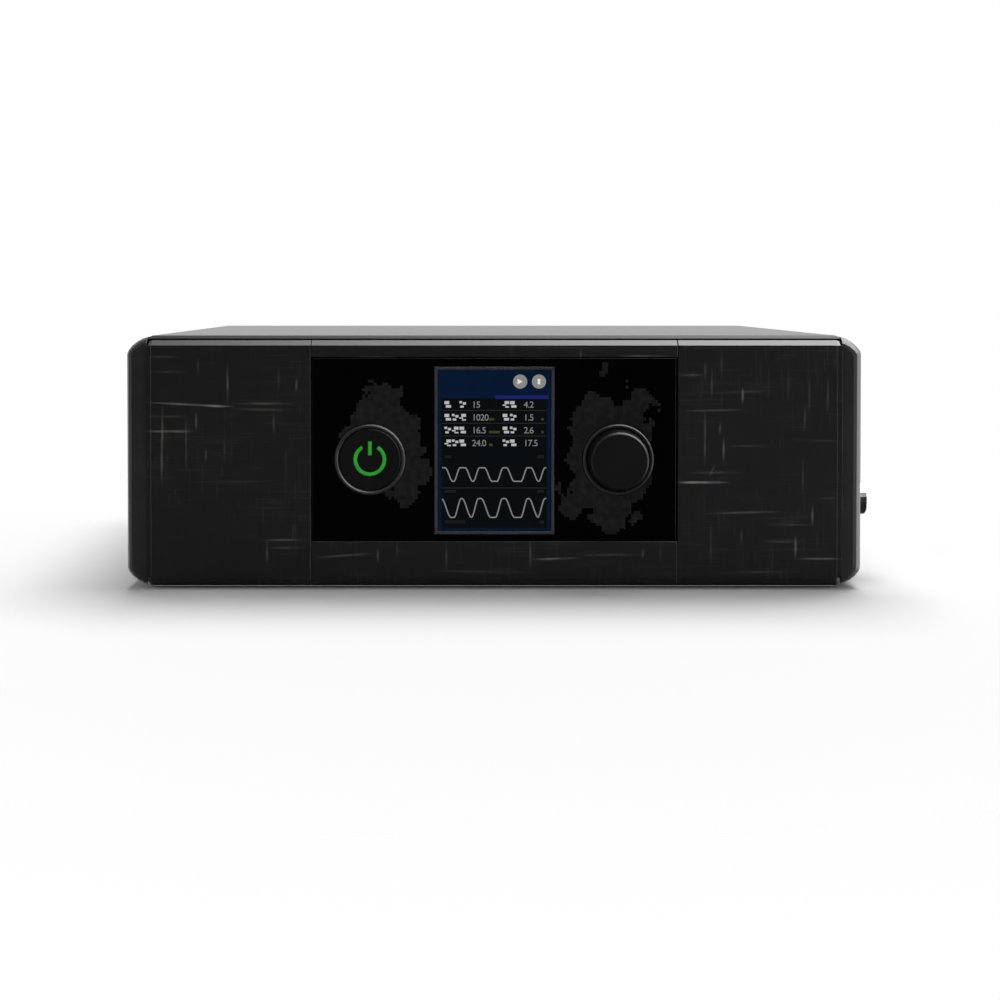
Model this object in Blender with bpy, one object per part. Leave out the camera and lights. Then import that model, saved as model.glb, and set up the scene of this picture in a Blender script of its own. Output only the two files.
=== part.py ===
"""Bilevel positive airway pressure machine: a wide low case with a screen, a power button and a knob.

Metres, +Z up, the front towards -Y. Every piece is placed about the middle of the case on the
floor, and one empty then sets the middle of the whole footprint on the origin.
"""

from math import cos, pi, radians, sin

import bmesh
import bpy
from mathutils import Matrix, Vector

# Overall case
WIDTH = 0.3030
DEPTH = 0.2000
HEIGHT = 0.1044
FOOT_STANDOFF = 0.0008

# Fits and making
GAP = 0.0003
CUT_OVERRUN = 0.0020
JOIN_OVERLAP = 0.0005
FINE_SIDES = 36
ROUND_SIDES = 20
SMALL_SIDES = 10
SMOOTH_ANGLE = radians(35.0)
# The default solver leaves the two case shells open at their posts, so they are cut with this one
SHELL_SOLVER = "MANIFOLD"

# Case shells
CASE_WALL = 0.0025
CASE_EDGE_ROUND = 0.0018
CASE_EDGE_STEPS = 2
SPLIT_HEIGHT = 0.0520
COVER_OVERHANG = 0.0020
COVER_OVERHANG_THICKNESS = 0.0016
COVER_SLOPE_DEPTH = 0.0016
COVER_SLOPE_LIP = 0.0004

# Cheeks, the end caps of the case
CHEEK_THICKNESS = 0.0087
CHEEK_SETBACK = 0.0006
CHEEK_FRONT_SETBACK = 0.0010
CHEEK_SHOULDER_DROP = 0.0070
CHEEK_SHOULDER_POWER = 4 / 3
CHEEK_SHOULDER_STEPS = 5
CHEEK_EDGE_ROUND = 0.0040
CHEEK_EDGE_STEPS = 4
CHEEK_WALL = 0.0026
CHEEK_PEG_RADIUS = 0.0020
CHEEK_PEG_REACH = 0.0030
CHEEK_PEG_DEPTH_SHARES = (-0.80, 0.80)
CHEEK_PEG_HEIGHT_SHARES = (0.20, 0.78)

# Front panels
PANEL_THICKNESS = 0.0030
PANEL_LIP_DEPTH = 0.0045
PANEL_LIP_THICKNESS = 0.0022
PANEL_BEVEL = 0.0021
PANEL_FOOT_ROUND = 0.0042
PANEL_FOOT_STEPS = 3
PANEL_SPLIT_X = 0.0752
PANEL_EDGE_CHAMFER = 0.0007
PANEL_PEG_RADIUS = 0.0018
PANEL_PEG_REACH = 0.0035
PANEL_PEG_INSET = 0.0100

# Front frame, which the panels peg into
FRAME_THICKNESS = 0.0020
FRAME_PEG_LOW_INSET = 0.0105
FRAME_PEG_TOP_INSET = 0.0058
FRAME_PEG_LAND = 0.0011
STANDOFF_RADIUS = 0.0025

# Glossy window
WINDOW_SIDE_MARGIN = 0.0006
WINDOW_BOTTOM = 0.0201
WINDOW_TOP_MARGIN = 0.0090
WINDOW_THICKNESS = 0.0015
WINDOW_EDGE_CHAMFER = 0.0003

# Display
DISPLAY_WIDTH = 0.0490
DISPLAY_LOW_MARGIN = 0.00285
DISPLAY_TOP_MARGIN = 0.00375
DISPLAY_FRAME_BAR = 0.0011
DISPLAY_FRAME_PROUD = 0.0002
DISPLAY_FRAME_DEPTH = 0.0014
DISPLAY_GLASS_THICKNESS = 0.0010
DISPLAY_GLASS_SINK = 0.0001

# Front board
BOARD_THICKNESS = 0.0016
FRONT_BOARD_SIDE_LAP = 0.0068
FRONT_BOARD_BOTTOM = 0.0140
FRONT_BOARD_TOP_MARGIN = 0.0045
FRONT_BOARD_SETBACK = 0.0090
FRONT_BOARD_HOLD_INSET = 0.0030

# Power button
BUTTON_PLACE_SHARE = 0.529
CONTROL_RISE = 0.0335
BUTTON_RING_RADIUS = 0.0145
BUTTON_RING_BAR = 0.0014
BUTTON_RING_PROUD = 0.0008
BUTTON_RING_EDGE = 0.0005
BUTTON_RING_FLANGE = 0.0014
BUTTON_FLANGE_THICKNESS = 0.0010
BUTTON_CAP_FACE = 0.0016
BUTTON_CAP_PROUD = 0.0005
BUTTON_CAP_WALL = 0.0014
BUTTON_CAP_EDGE = 0.0004
BUTTON_TRAVEL = 0.0012
SYMBOL_RADIUS = 0.0060
SYMBOL_STROKE = 0.0011
SYMBOL_BAR_LENGTH = 0.0053
SYMBOL_BAR_TOP = 0.0073
SYMBOL_GAP_ANGLE = radians(34.0)
SYMBOL_ARC_STEPS = 16
SYMBOL_CLEARANCE = 0.0002
GUIDE_RADIUS = 0.0085
GUIDE_THICKNESS = 0.0010
GUIDE_STEM_RADIUS = 0.0018
SWITCH_SIZE = 0.0062
SWITCH_DEPTH = 0.0027
SWITCH_FLOOR = 0.0003
PLUNGER_RADIUS = 0.0015
PLUNGER_PROUD = 0.0011
PLUNGER_BASE_CLEARANCE = 0.0002

# Selector knob and its encoder
KNOB_PLACE_SHARE = 0.525
KNOB_RING_RADIUS = 0.0145
KNOB_RING_BAR = 0.0013
KNOB_RING_PROUD = 0.0008
KNOB_RING_EDGE = 0.00045
KNOB_BASE_RADIUS = 0.0127
KNOB_FACE_RADIUS = 0.0118
KNOB_PROUD = 0.0070
KNOB_EDGE = 0.0007
KNOB_WALL = 0.0018
KNOB_FACE_THICKNESS = 0.0022
KNOB_HUB_RADIUS = 0.0045
KNOB_BASE_SETBACK = 0.0005
KNOB_TRAVEL = 0.0008
ENCODER_SIZE = 0.0125
ENCODER_DEPTH = 0.0049
BUSHING_RADIUS = 0.0035
ENCODER_SHAFT_RADIUS = 0.0023
ENCODER_SHAFT_TIP = 0.0022
ENCODER_PLUNGER_LENGTH = 0.0010
ENCODER_FLOOR = 0.0007

# Rear panel
REAR_PANEL_THICKNESS = 0.0030
REAR_PANEL_SETBACK = 0.0015
VENT_COUNT = 9
VENT_PITCH = 0.0060
VENT_WIDTH = 0.0024
VENT_LOW_MARGIN = 0.0180
VENT_TOP_MARGIN = 0.0129

# Noise box, which holds the blower
BOX_SIDE_CLEARANCE = 0.0100
BOX_WALL = 0.0025
BOX_LID_THICKNESS = 0.0025
FOAM_THICKNESS = 0.0100
FOAM_TOP_CLEARANCE = 0.0040
FOAM_REAR_CLEARANCE = 0.0120

# Blower
BLOWER_LEFT_CLEARANCE = 0.0122
BLOWER_RIGHT_CLEARANCE = 0.0075
BLOWER_FRONT_CLEARANCE = 0.0032
BLOWER_TOP_CLEARANCE = 0.0131
VOLUTE_RADIUS = 0.0360
VOLUTE_HEIGHT = 0.0320
VOLUTE_WALL = 0.0020
VOLUTE_INLET_RADIUS = 0.0120
SPOUT_OFFSET = 0.0240
SPOUT_RADIUS = 0.0100
SPOUT_WALL = 0.0017
SPOUT_END = 0.0460
SPOUT_REAR_CLEARANCE = 0.0292
MOUNT_COUNT = 3
MOUNT_TURN_SHARE = 0.25
MOUNT_RADIUS = 0.0050
MOUNT_HEIGHT = 0.0080
MOUNT_CIRCLE = 0.0270
IMPELLER_RADIUS = 0.0295
IMPELLER_DISC_THICKNESS = 0.0018
IMPELLER_HUB_RADIUS = 0.0048
IMPELLER_CLEARANCE = 0.0022
IMPELLER_BLADES = 9
BLADE_THICKNESS = 0.0014
BLADE_ROOT_RADIUS = 0.0040
BLADE_SWEEP = radians(38.0)
BLADE_STEPS = 4
ROTOR_SHAFT_RADIUS = 0.0016
STATOR_RADIUS = 0.0120
STATOR_FLANGE_RADIUS = 0.0160
STATOR_FLANGE_THICKNESS = 0.0014
STATOR_HEIGHT = 0.0130
ROTOR_BELL_WALL = 0.0018
ROTOR_BELL_TOP = 0.0020
ROTOR_RUNNING_GAP = 0.0005

# Air outlet
SLEEVE_WALL = 0.0020
SLEEVE_OVERLAP = 0.0080
PORT_FLANGE_RADIUS = 0.0170
PORT_FLANGE_THICKNESS = 0.0022
PORT_RADIUS = 0.0111
PORT_TIP_RADIUS = 0.0108
PORT_REACH = 0.0225
PORT_EDGE = 0.0006

# Air inlet filter and its cover
FILTER_SIDE_INSET = 0.0090
FILTER_WIDTH = 0.0460
FILTER_BOTTOM = 0.0240
FILTER_HEIGHT = 0.0420
FILTER_DEPTH = 0.0110
COVER_MARGIN = 0.0040
COVER_THICKNESS = 0.0022
COVER_EDGE = 0.0008
COVER_SLOTS = 5
COVER_SLOT_HEIGHT = 0.0030
COVER_SLOT_MARGIN = 0.0060
COVER_TAB_WIDTH = 0.0100
COVER_TAB_PROUD = 0.0016
COVER_TAB_HEIGHT = 0.0026

# Gas fitting on the right-hand side
FITTING_SETBACK = 0.0350
FITTING_Z = 0.0330
FITTING_RADIUS = 0.0072
FITTING_PROUD = 0.0115
FITTING_TIP_LENGTH = 0.0013
FITTING_TIP_RADIUS = 0.0028
FITTING_COLLAR_LENGTH = 0.0036
FITTING_GROOVE_LENGTH = 0.0022
FITTING_GROOVE_RADIUS = 0.0056
FITTING_EDGE = 0.0004
FITTING_BARREL_RADIUS = 0.0046
FITTING_BARREL_REACH = 0.0090
FITTING_BARB_RADIUS = 0.0019
FITTING_BARB_LENGTH = 0.0080
FITTING_BORE_RADIUS = 0.0011
NUT_SIDES = 6
NUT_RADIUS = 0.0078
NUT_THICKNESS = 0.0034
TUBE_RADIUS = 0.0033
TUBE_WALL = 0.0011
TUBE_GRIP = 0.0060
TUBE_BEND = 0.0200
TUBE_BEND_STEPS = 6
TUBE_LANE_CLEARANCE = 0.0340
TUBE_JOIN_SHARE = 0.55

# Boards
BOARD_LIFT = 0.0060
BOARD_SIDE_CLEARANCE = 0.0130
BOARD_SPACING = 0.0100
MAIN_BOARD_FRONT_CLEARANCE = 0.0180
BOARD_HOLD_INSET = 0.0050
BUZZER_RADIUS = 0.0060
BUZZER_HEIGHT = 0.0080
BUZZER_SIDE_INSET = 0.0230
BUZZER_FRONT_INSET = 0.0470
POWER_BOARD_WIDTH = 0.0780
POWER_BOARD_DEPTH = 0.0600
POWER_BOARD_REAR_CLEARANCE = 0.0175
TRANSFORMER_WIDTH = 0.0260
TRANSFORMER_DEPTH = 0.0220
TRANSFORMER_HEIGHT = 0.0160
CAPACITOR_RADIUS = 0.0080
CAPACITOR_HEIGHT = 0.0240

# Mains inlet
INLET_SIDE_INSET = 0.0410
INLET_Z = 0.0350
INLET_WIDTH = 0.0270
INLET_HEIGHT = 0.0200
INLET_FLANGE = 0.0020
INLET_FLANGE_THICKNESS = 0.0020
INLET_BODY_DEPTH = 0.0185
INLET_WALL = 0.0015
INLET_FLOOR = 0.0025
INLET_CORNER = 0.0035
INLET_PIN_WIDTH = 0.0020
INLET_PIN_HEIGHT = 0.0040
INLET_PIN_LENGTH = 0.0100
INLET_PIN_SPREAD = 0.0070
INLET_PIN_RISE = 0.0020

# Rocker switch
ROCKER_SPACING = 0.0380
ROCKER_WIDTH = 0.0130
ROCKER_HEIGHT = 0.0200
ROCKER_WALL = 0.0012
ROCKER_DEPTH = 0.0130
ROCKER_FLOOR = 0.0020
ROCKER_END_CLEARANCE = 0.0010
ROCKER_TILT = radians(8.0)
ROCKER_PIVOT_SETBACK = 0.0034
ROCKER_VALLEY = 0.0026
ROCKER_CREST = 0.0038
ROCKER_BACK = 0.0026
ROCKER_PIN_RADIUS = 0.0011
ROCKER_PIN_REACH = 0.0008

# Feet and screws
FOOT_RADIUS = 0.0080
FOOT_SINK = 0.0009
FOOT_X_SHARE = 0.82
FOOT_Y_SHARE = 0.80
FOOT_EDGE = 0.0004
POST_RADIUS = 0.0043
POST_WALL_CLEARANCE = 0.0005
POST_FRONT_INSET = 0.0140
POST_REAR_INSET = 0.0100
SCREW_RADIUS = 0.0014
SCREW_HEAD_RADIUS = 0.0029
SCREW_HEAD_HEIGHT = 0.0024
SCREW_LENGTH = 0.0260
SCREW_SEAT_HEIGHT = 0.0360
SCREW_END_CLEARANCE = 0.0020

# Places that follow from the sizes above
BODY_HALF = WIDTH / 2 - CHEEK_THICKNESS - GAP
INNER_HALF = BODY_HALF - CASE_WALL
FRONT = -DEPTH / 2
REAR = DEPTH / 2
BOTTOM = FOOT_STANDOFF
TOP = HEIGHT
FLOOR_TOP = BOTTOM + CASE_WALL
ROOF = TOP - CASE_WALL
PANEL_BACK = FRONT + PANEL_THICKNESS
LIP_BACK = FRONT + PANEL_LIP_DEPTH
CASE_FRONT = LIP_BACK + GAP
PANEL_TOP = TOP - COVER_OVERHANG_THICKNESS - GAP
FRAME_FRONT = PANEL_BACK + GAP
FRAME_BACK = FRAME_FRONT + FRAME_THICKNESS
WINDOW_BACK = FRONT + WINDOW_THICKNESS
WINDOW_HALF = PANEL_SPLIT_X - WINDOW_SIDE_MARGIN
WINDOW_TOP = TOP - WINDOW_TOP_MARGIN
BACKING_FRONT = WINDOW_BACK + GAP
DISPLAY_LOW = WINDOW_BOTTOM + DISPLAY_LOW_MARGIN
DISPLAY_HIGH = WINDOW_TOP - DISPLAY_TOP_MARGIN
CONTROL_ROOM = WINDOW_HALF - DISPLAY_WIDTH / 2
BUTTON_X = -DISPLAY_WIDTH / 2 - CONTROL_ROOM * BUTTON_PLACE_SHARE
KNOB_X = DISPLAY_WIDTH / 2 + CONTROL_ROOM * KNOB_PLACE_SHARE
CONTROL_Z = WINDOW_BOTTOM + CONTROL_RISE
FRAME_PEG_LOW = BOTTOM + FRAME_PEG_LOW_INSET
FRAME_PEG_HIGH = PANEL_TOP - FRAME_PEG_TOP_INSET
FRAME_WINDOW_HALF = BUTTON_RING_RADIUS + BUTTON_RING_FLANGE + GAP - BUTTON_X
FRAME_WINDOW_TOP = FRAME_PEG_HIGH - PANEL_PEG_RADIUS - GAP - FRAME_PEG_LAND
BOARD_FRONT = FRONT + FRONT_BOARD_SETBACK
FRONT_BOARD_HALF = FRAME_WINDOW_HALF + FRONT_BOARD_SIDE_LAP
FRONT_BOARD_TOP = PANEL_TOP - FRONT_BOARD_TOP_MARGIN
REAR_PANEL_BACK = REAR - REAR_PANEL_SETBACK
REAR_PANEL_FRONT = REAR_PANEL_BACK - REAR_PANEL_THICKNESS
BOX_LEFT = BOX_SIDE_CLEARANCE - INNER_HALF
BOX_REAR = REAR_PANEL_FRONT - GAP
BOX_BOTTOM = FLOOR_TOP + GAP
LINING = BOX_WALL + GAP + FOAM_THICKNESS
BLOWER_X = BOX_LEFT + LINING + BLOWER_LEFT_CLEARANCE + VOLUTE_RADIUS
BLOWER_Y = BOX_REAR - SPOUT_REAR_CLEARANCE - SPOUT_END
BOX_RIGHT = BLOWER_X + VOLUTE_RADIUS + BLOWER_RIGHT_CLEARANCE + BOX_WALL
BOX_FRONT = BLOWER_Y - VOLUTE_RADIUS - BLOWER_FRONT_CLEARANCE - LINING
FILTER_LEFT = BOX_LEFT + FILTER_SIDE_INSET
FILTER_RIGHT = FILTER_LEFT + FILTER_WIDTH
FILTER_TOP = FILTER_BOTTOM + FILTER_HEIGHT
VOLUTE_BOTTOM = BOX_BOTTOM + BOX_WALL + GAP + MOUNT_HEIGHT + GAP
VOLUTE_TOP = VOLUTE_BOTTOM + VOLUTE_HEIGHT
STATOR_TOP = VOLUTE_TOP + GAP + STATOR_HEIGHT
BELL_CEILING = STATOR_TOP + ROTOR_RUNNING_GAP
BELL_TOP = BELL_CEILING + ROTOR_BELL_TOP
BOX_TOP = BELL_TOP + BLOWER_TOP_CLEARANCE
SPOUT_X = BLOWER_X + SPOUT_OFFSET
SPOUT_Z = VOLUTE_BOTTOM + VOLUTE_HEIGHT / 2
SPOUT_TIP = BLOWER_Y + SPOUT_END
SPOUT_BORE = SPOUT_RADIUS - SPOUT_WALL
SLEEVE_BORE = SPOUT_RADIUS + GAP
SLEEVE_RADIUS = SLEEVE_BORE + SLEEVE_WALL
SLEEVE_FRONT = SPOUT_TIP - SLEEVE_OVERLAP
SLEEVE_REAR = SPOUT_TIP + GAP + SLEEVE_OVERLAP
PORT_FRONT = SPOUT_TIP + GAP
PORT_FLANGE_FRONT = REAR_PANEL_BACK + GAP
PORT_TIP = REAR_PANEL_BACK + PORT_REACH
KNOB_TIP = FRONT - KNOB_PROUD
FITTING_Y = FRONT + FITTING_SETBACK
FITTING_TIP = WIDTH / 2 + FITTING_PROUD
TUBE_LANE_X = BOX_RIGHT + TUBE_LANE_CLEARANCE
BOARD_RIGHT = INNER_HALF - BOARD_SIDE_CLEARANCE
POWER_BOARD_LEFT = BOARD_RIGHT - POWER_BOARD_WIDTH
POWER_BOARD_REAR = REAR_PANEL_FRONT - POWER_BOARD_REAR_CLEARANCE
POWER_BOARD_FRONT = POWER_BOARD_REAR - POWER_BOARD_DEPTH
MAIN_BOARD_LEFT = BOX_RIGHT + BOARD_SPACING
MAIN_BOARD_FRONT = FRONT + MAIN_BOARD_FRONT_CLEARANCE
MAIN_BOARD_REAR = POWER_BOARD_FRONT - BOARD_SPACING
INLET_X = INNER_HALF - INLET_SIDE_INSET
ROCKER_X = INLET_X - ROCKER_SPACING
VENT_X = (INLET_X + ROCKER_X) / 2
VENT_LOW = INLET_Z + INLET_HEIGHT / 2 + VENT_LOW_MARGIN
VENT_HIGH = ROOF - VENT_TOP_MARGIN
ROCKER_PIVOT_Y = REAR_PANEL_BACK - ROCKER_PIVOT_SETBACK
SCREW_PLACES = [
    (side * (INNER_HALF - POST_WALL_CLEARANCE - POST_RADIUS), y)
    for side in (-1, 1)
    for y in (FRONT + POST_FRONT_INSET, REAR - POST_REAR_INSET)
]
FOOT_PLACES = [
    (side * BODY_HALF * FOOT_X_SHARE, end * REAR * FOOT_Y_SHARE)
    for side in (-1, 1)
    for end in (-1, 1)
]
CHEEK_PEG_PLACES = [
    (REAR * depth_share, TOP * height_share)
    for depth_share in CHEEK_PEG_DEPTH_SHARES
    for height_share in CHEEK_PEG_HEIGHT_SHARES
]

# Colour, roughness and metallic value of each material
FINISHES = {
    "linen_black": ((0.012, 0.012, 0.013), 0.42, 0.0),
    "satin_black": ((0.018, 0.018, 0.019), 0.38, 0.0),
    "gloss_black": ((0.002, 0.002, 0.002), 0.06, 0.0),
    "dark_grey": ((0.020, 0.020, 0.021), 0.50, 0.0),
    "display_glass": ((0.003, 0.008, 0.020), 0.08, 0.0),
    "display_grey": ((0.060, 0.060, 0.068), 0.40, 0.0),
    "green_light": ((0.010, 0.300, 0.015), 0.35, 0.0),
    "steel": ((0.480, 0.480, 0.470), 0.28, 1.0),
    "board_green": ((0.010, 0.080, 0.035), 0.55, 0.0),
    "grey_plastic": ((0.140, 0.140, 0.145), 0.50, 0.0),
    "white_plastic": ((0.620, 0.620, 0.600), 0.45, 0.0),
    "rubber": ((0.014, 0.014, 0.014), 0.80, 0.0),
    "foam": ((0.045, 0.045, 0.048), 0.95, 0.0),
    "filter": ((0.560, 0.560, 0.540), 0.95, 0.0),
    "copper": ((0.450, 0.190, 0.080), 0.40, 1.0),
    "clear_tube": ((0.550, 0.580, 0.580), 0.30, 0.0),
}


def clear_scene():
    """Empty the scene that Blender starts with."""
    for item in list(bpy.data.objects):
        bpy.data.objects.remove(item, do_unlink=True)


def make_material(name):
    """The Principled material of one finish, made once."""
    made = bpy.data.materials.get(name)
    if made:
        return made
    colour, roughness, metallic = FINISHES[name]
    made = bpy.data.materials.new(name)
    made.use_nodes = True
    shader = made.node_tree.nodes["Principled BSDF"]
    shader.inputs["Base Color"].default_value = (*colour, 1.0)
    shader.inputs["Roughness"].default_value = roughness
    shader.inputs["Metallic"].default_value = metallic
    return made


def to_object(bm, name):
    """Turn a bmesh into an object of the scene."""
    bmesh.ops.recalc_face_normals(bm, faces=bm.faces)
    mesh = bpy.data.meshes.new(name)
    bm.to_mesh(mesh)
    bm.free()
    made = bpy.data.objects.new(name, mesh)
    bpy.context.scene.collection.objects.link(made)
    return made


def box(low, high):
    """A block between two corners."""
    bm = bmesh.new()
    bmesh.ops.create_cube(bm, size=1.0)
    size = [h - l for l, h in zip(low, high)]
    middle = [(h + l) / 2 for l, h in zip(low, high)]
    bmesh.ops.scale(bm, vec=size, verts=bm.verts)
    bmesh.ops.translate(bm, vec=middle, verts=bm.verts)
    return to_object(bm, "box")


def along_axis(axis, first, second, along):
    """A point from its place along an axis and its two other coordinates, in X, Y, Z order."""
    if axis == "X":
        return Vector((along, first, second))
    if axis == "Y":
        return Vector((first, along, second))
    return Vector((first, second, along))


def prism(outline, axis, start, stop):
    """A straight solid with the given outline across the axis."""
    bm = bmesh.new()
    face = bm.faces.new([bm.verts.new(along_axis(axis, a, b, start)) for a, b in outline])
    made = bmesh.ops.extrude_face_region(bm, geom=[face])["geom"]
    moved = [item for item in made if isinstance(item, bmesh.types.BMVert)]
    bmesh.ops.translate(bm, vec=along_axis(axis, 0, 0, stop - start), verts=moved)
    return to_object(bm, "prism")


def turned(profile, axis, centre, sides=ROUND_SIDES):
    """A solid turned about an axis: the profile lists radius and place along the axis.

    A profile that starts or ends on the axis has a flat end there. One that never reaches
    the axis closes on itself, and leaves a bore.
    """
    bm = bmesh.new()
    rings = []
    for radius, along in profile:
        if radius == 0:
            continue
        ring = []
        for step in range(sides):
            angle = 2 * pi * (step + 0.5) / sides
            first = centre[0] + radius * cos(angle)
            second = centre[1] + radius * sin(angle)
            ring.append(bm.verts.new(along_axis(axis, first, second, along)))
        rings.append(ring)
    followers = rings[1:]
    if profile[0][0] == 0:
        bm.faces.new(rings[0])
        bm.faces.new(rings[-1])
    else:
        followers = followers + rings[:1]
    for one, two in zip(rings, followers):
        for step in range(sides):
            after = (step + 1) % sides
            bm.faces.new((one[step], one[after], two[after], two[step]))
    return to_object(bm, "turned")


def cylinder(radius, start, stop, axis, centre, sides=ROUND_SIDES):
    """A plain round bar."""
    profile = [(0, start), (radius, start), (radius, stop), (0, stop)]
    return turned(profile, axis, centre, sides)


def tube(radius, bore, start, stop, axis, centre, sides=ROUND_SIDES):
    """A plain round tube."""
    profile = [(bore, start), (radius, start), (radius, stop), (bore, stop)]
    return turned(profile, axis, centre, sides)


def combine(target, tool, operation, solver="EXACT"):
    """Join, cut or keep the shared part of two solids, and remove the tool."""
    modifier = target.modifiers.new("Combine", "BOOLEAN")
    modifier.operation = operation
    modifier.solver = solver
    modifier.object = tool
    depsgraph = bpy.context.evaluated_depsgraph_get()
    result = bpy.data.meshes.new_from_object(target.evaluated_get(depsgraph))
    target.modifiers.clear()
    target.data = result
    bpy.data.objects.remove(tool, do_unlink=True)
    return target


def cut(target, tool, solver="EXACT"):
    """Take the tool away from a solid."""
    return combine(target, tool, "DIFFERENCE", solver)


def join(target, tool, solver="EXACT"):
    """Make the tool part of a solid."""
    return combine(target, tool, "UNION", solver)


def keep_inside(target, tool):
    """Keep only the part of a solid that lies inside the tool."""
    return combine(target, tool, "INTERSECT")


def bevel_edges(target, chosen, width, steps=1):
    """Bevel the edges for which chosen(start, end) is true."""
    bm = bmesh.new()
    bm.from_mesh(target.data)
    edges = [edge for edge in bm.edges if chosen(edge.verts[0].co, edge.verts[1].co)]
    bmesh.ops.bevel(
        bm, geom=edges, offset=width, segments=steps, profile=0.5, affect="EDGES", clamp_overlap=True
    )
    bm.to_mesh(target.data)
    bm.free()
    return target


def same(a, b):
    """Whether two places agree to a small part of the least gap."""
    return abs(a - b) < GAP / 100


def node(target, name, finish):
    """Name a finished solid, give it its material and set how it is shaded."""
    target.name = name
    target.data.name = name
    target.data.materials.clear()
    target.data.materials.append(make_material(finish))
    target.data.shade_smooth()
    target.data.set_sharp_from_angle(angle=SMOOTH_ANGLE)
    return target


def set_origin(target, place):
    """Move an object's origin to a point, and leave its shape where it is."""
    target.data.transform(Matrix.Translation(-Vector(place)))
    target.location = place
    return target


def case_envelope():
    """The outer form of the two case shells, with rounded edges."""
    envelope = box((-BODY_HALF, FRONT, BOTTOM), (BODY_HALF, REAR, TOP))
    return bevel_edges(envelope, lambda a, b: True, CASE_EDGE_ROUND, CASE_EDGE_STEPS)


def panel_envelope():
    """The outer form of the front panels: bevelled above, round below, with rounded ends."""
    outline = [
        (FRONT, PANEL_TOP - PANEL_BEVEL),
        (FRONT + PANEL_BEVEL, PANEL_TOP),
        (REAR, PANEL_TOP),
        (REAR, BOTTOM),
    ]
    middle_y = FRONT + PANEL_FOOT_ROUND
    middle_z = BOTTOM + PANEL_FOOT_ROUND
    for step in range(PANEL_FOOT_STEPS + 1):
        angle = pi / 2 * step / PANEL_FOOT_STEPS
        y = middle_y - PANEL_FOOT_ROUND * sin(angle)
        z = middle_z - PANEL_FOOT_ROUND * cos(angle)
        outline.append((y, z))
    envelope = prism(outline, "X", -BODY_HALF, BODY_HALF)
    return bevel_edges(envelope, lambda a, b: same(a.x, b.x), CASE_EDGE_ROUND, CASE_EDGE_STEPS)


def make_bottom_case():
    """Tray with side walls, screw posts, board standoffs and foot recesses."""
    top = SPLIT_HEIGHT - GAP / 2
    over = CUT_OVERRUN
    case = box((-BODY_HALF - over, CASE_FRONT, BOTTOM - over), (BODY_HALF + over, REAR + over, top))
    keep_inside(case, case_envelope())
    hollow_low = (-INNER_HALF, CASE_FRONT - over, FLOOR_TOP)
    hollow_high = (INNER_HALF, REAR + over, top + over)
    cut(case, box(hollow_low, hollow_high), SHELL_SOLVER)
    root = FLOOR_TOP - JOIN_OVERLAP
    shank = SCREW_RADIUS + GAP
    head = SCREW_HEAD_RADIUS + GAP
    screw_bore = [
        (0, BOTTOM - over),
        (head, BOTTOM - over),
        (head, SCREW_SEAT_HEIGHT),
        (shank, SCREW_SEAT_HEIGHT),
        (shank, top + over),
        (0, top + over),
    ]
    for place in SCREW_PLACES:
        join(case, cylinder(POST_RADIUS, root, top, "Z", place, SMALL_SIDES), SHELL_SOLVER)
        cut(case, turned(screw_bore, "Z", place, SMALL_SIDES), SHELL_SOLVER)
    for place in board_holds():
        post = cylinder(STANDOFF_RADIUS, root, board_bottom() - GAP, "Z", place, SMALL_SIDES)
        join(case, post, SHELL_SOLVER)
    for place in FOOT_PLACES:
        recess_top = BOTTOM + FOOT_SINK + GAP
        recess = cylinder(FOOT_RADIUS + GAP, BOTTOM - over, recess_top, "Z", place)
        cut(case, recess, SHELL_SOLVER)
    cut_cheek_pegs(case, 0, SPLIT_HEIGHT)
    cut(case, fitting_hole(), SHELL_SOLVER)
    node(case, "bottom_case", "satin_black")


def make_top_cover():
    """Cover with side walls, posts that take the screws, and a sloped edge over the front panels."""
    low = SPLIT_HEIGHT + GAP / 2
    side = BODY_HALF + CUT_OVERRUN
    high = TOP + CUT_OVERRUN
    edge_front = LIP_BACK - COVER_OVERHANG
    edge_low = TOP - COVER_OVERHANG_THICKNESS
    section = [
        (CASE_FRONT, low),
        (REAR + CUT_OVERRUN, low),
        (REAR + CUT_OVERRUN, high),
        (edge_front + COVER_SLOPE_DEPTH, high),
        (edge_front + COVER_SLOPE_DEPTH, TOP),
        (edge_front, edge_low + COVER_SLOPE_LIP),
        (edge_front, edge_low),
        (CASE_FRONT, edge_low),
    ]
    cover = keep_inside(prism(section, "X", -side, side), case_envelope())
    over = CUT_OVERRUN
    hollow_low = (-INNER_HALF, CASE_FRONT - over, low - over)
    hollow_high = (INNER_HALF, REAR + over, ROOF)
    cut(cover, box(hollow_low, hollow_high), SHELL_SOLVER)
    pilot = SCREW_RADIUS + GAP
    pilot_top = SCREW_SEAT_HEIGHT - GAP + SCREW_LENGTH + SCREW_END_CLEARANCE
    for place in SCREW_PLACES:
        post = cylinder(POST_RADIUS, low, ROOF + JOIN_OVERLAP, "Z", place, SMALL_SIDES)
        join(cover, post, SHELL_SOLVER)
        cut(cover, cylinder(pilot, low - over, pilot_top, "Z", place, SMALL_SIDES), SHELL_SOLVER)
    cut_cheek_pegs(cover, SPLIT_HEIGHT, TOP)
    node(cover, "top_cover", "satin_black")


def cut_cheek_pegs(shell, low, high):
    """Cut the holes for the cheeks' pegs in the side walls of one shell."""
    for y, z in CHEEK_PEG_PLACES:
        if not low < z < high:
            continue
        for side in (-1, 1):
            start = side * (INNER_HALF - CUT_OVERRUN)
            stop = side * (BODY_HALF + CUT_OVERRUN)
            hole = cylinder(CHEEK_PEG_RADIUS + GAP, start, stop, "X", (y, z), SMALL_SIDES)
            cut(shell, hole, SHELL_SOLVER)


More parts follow.
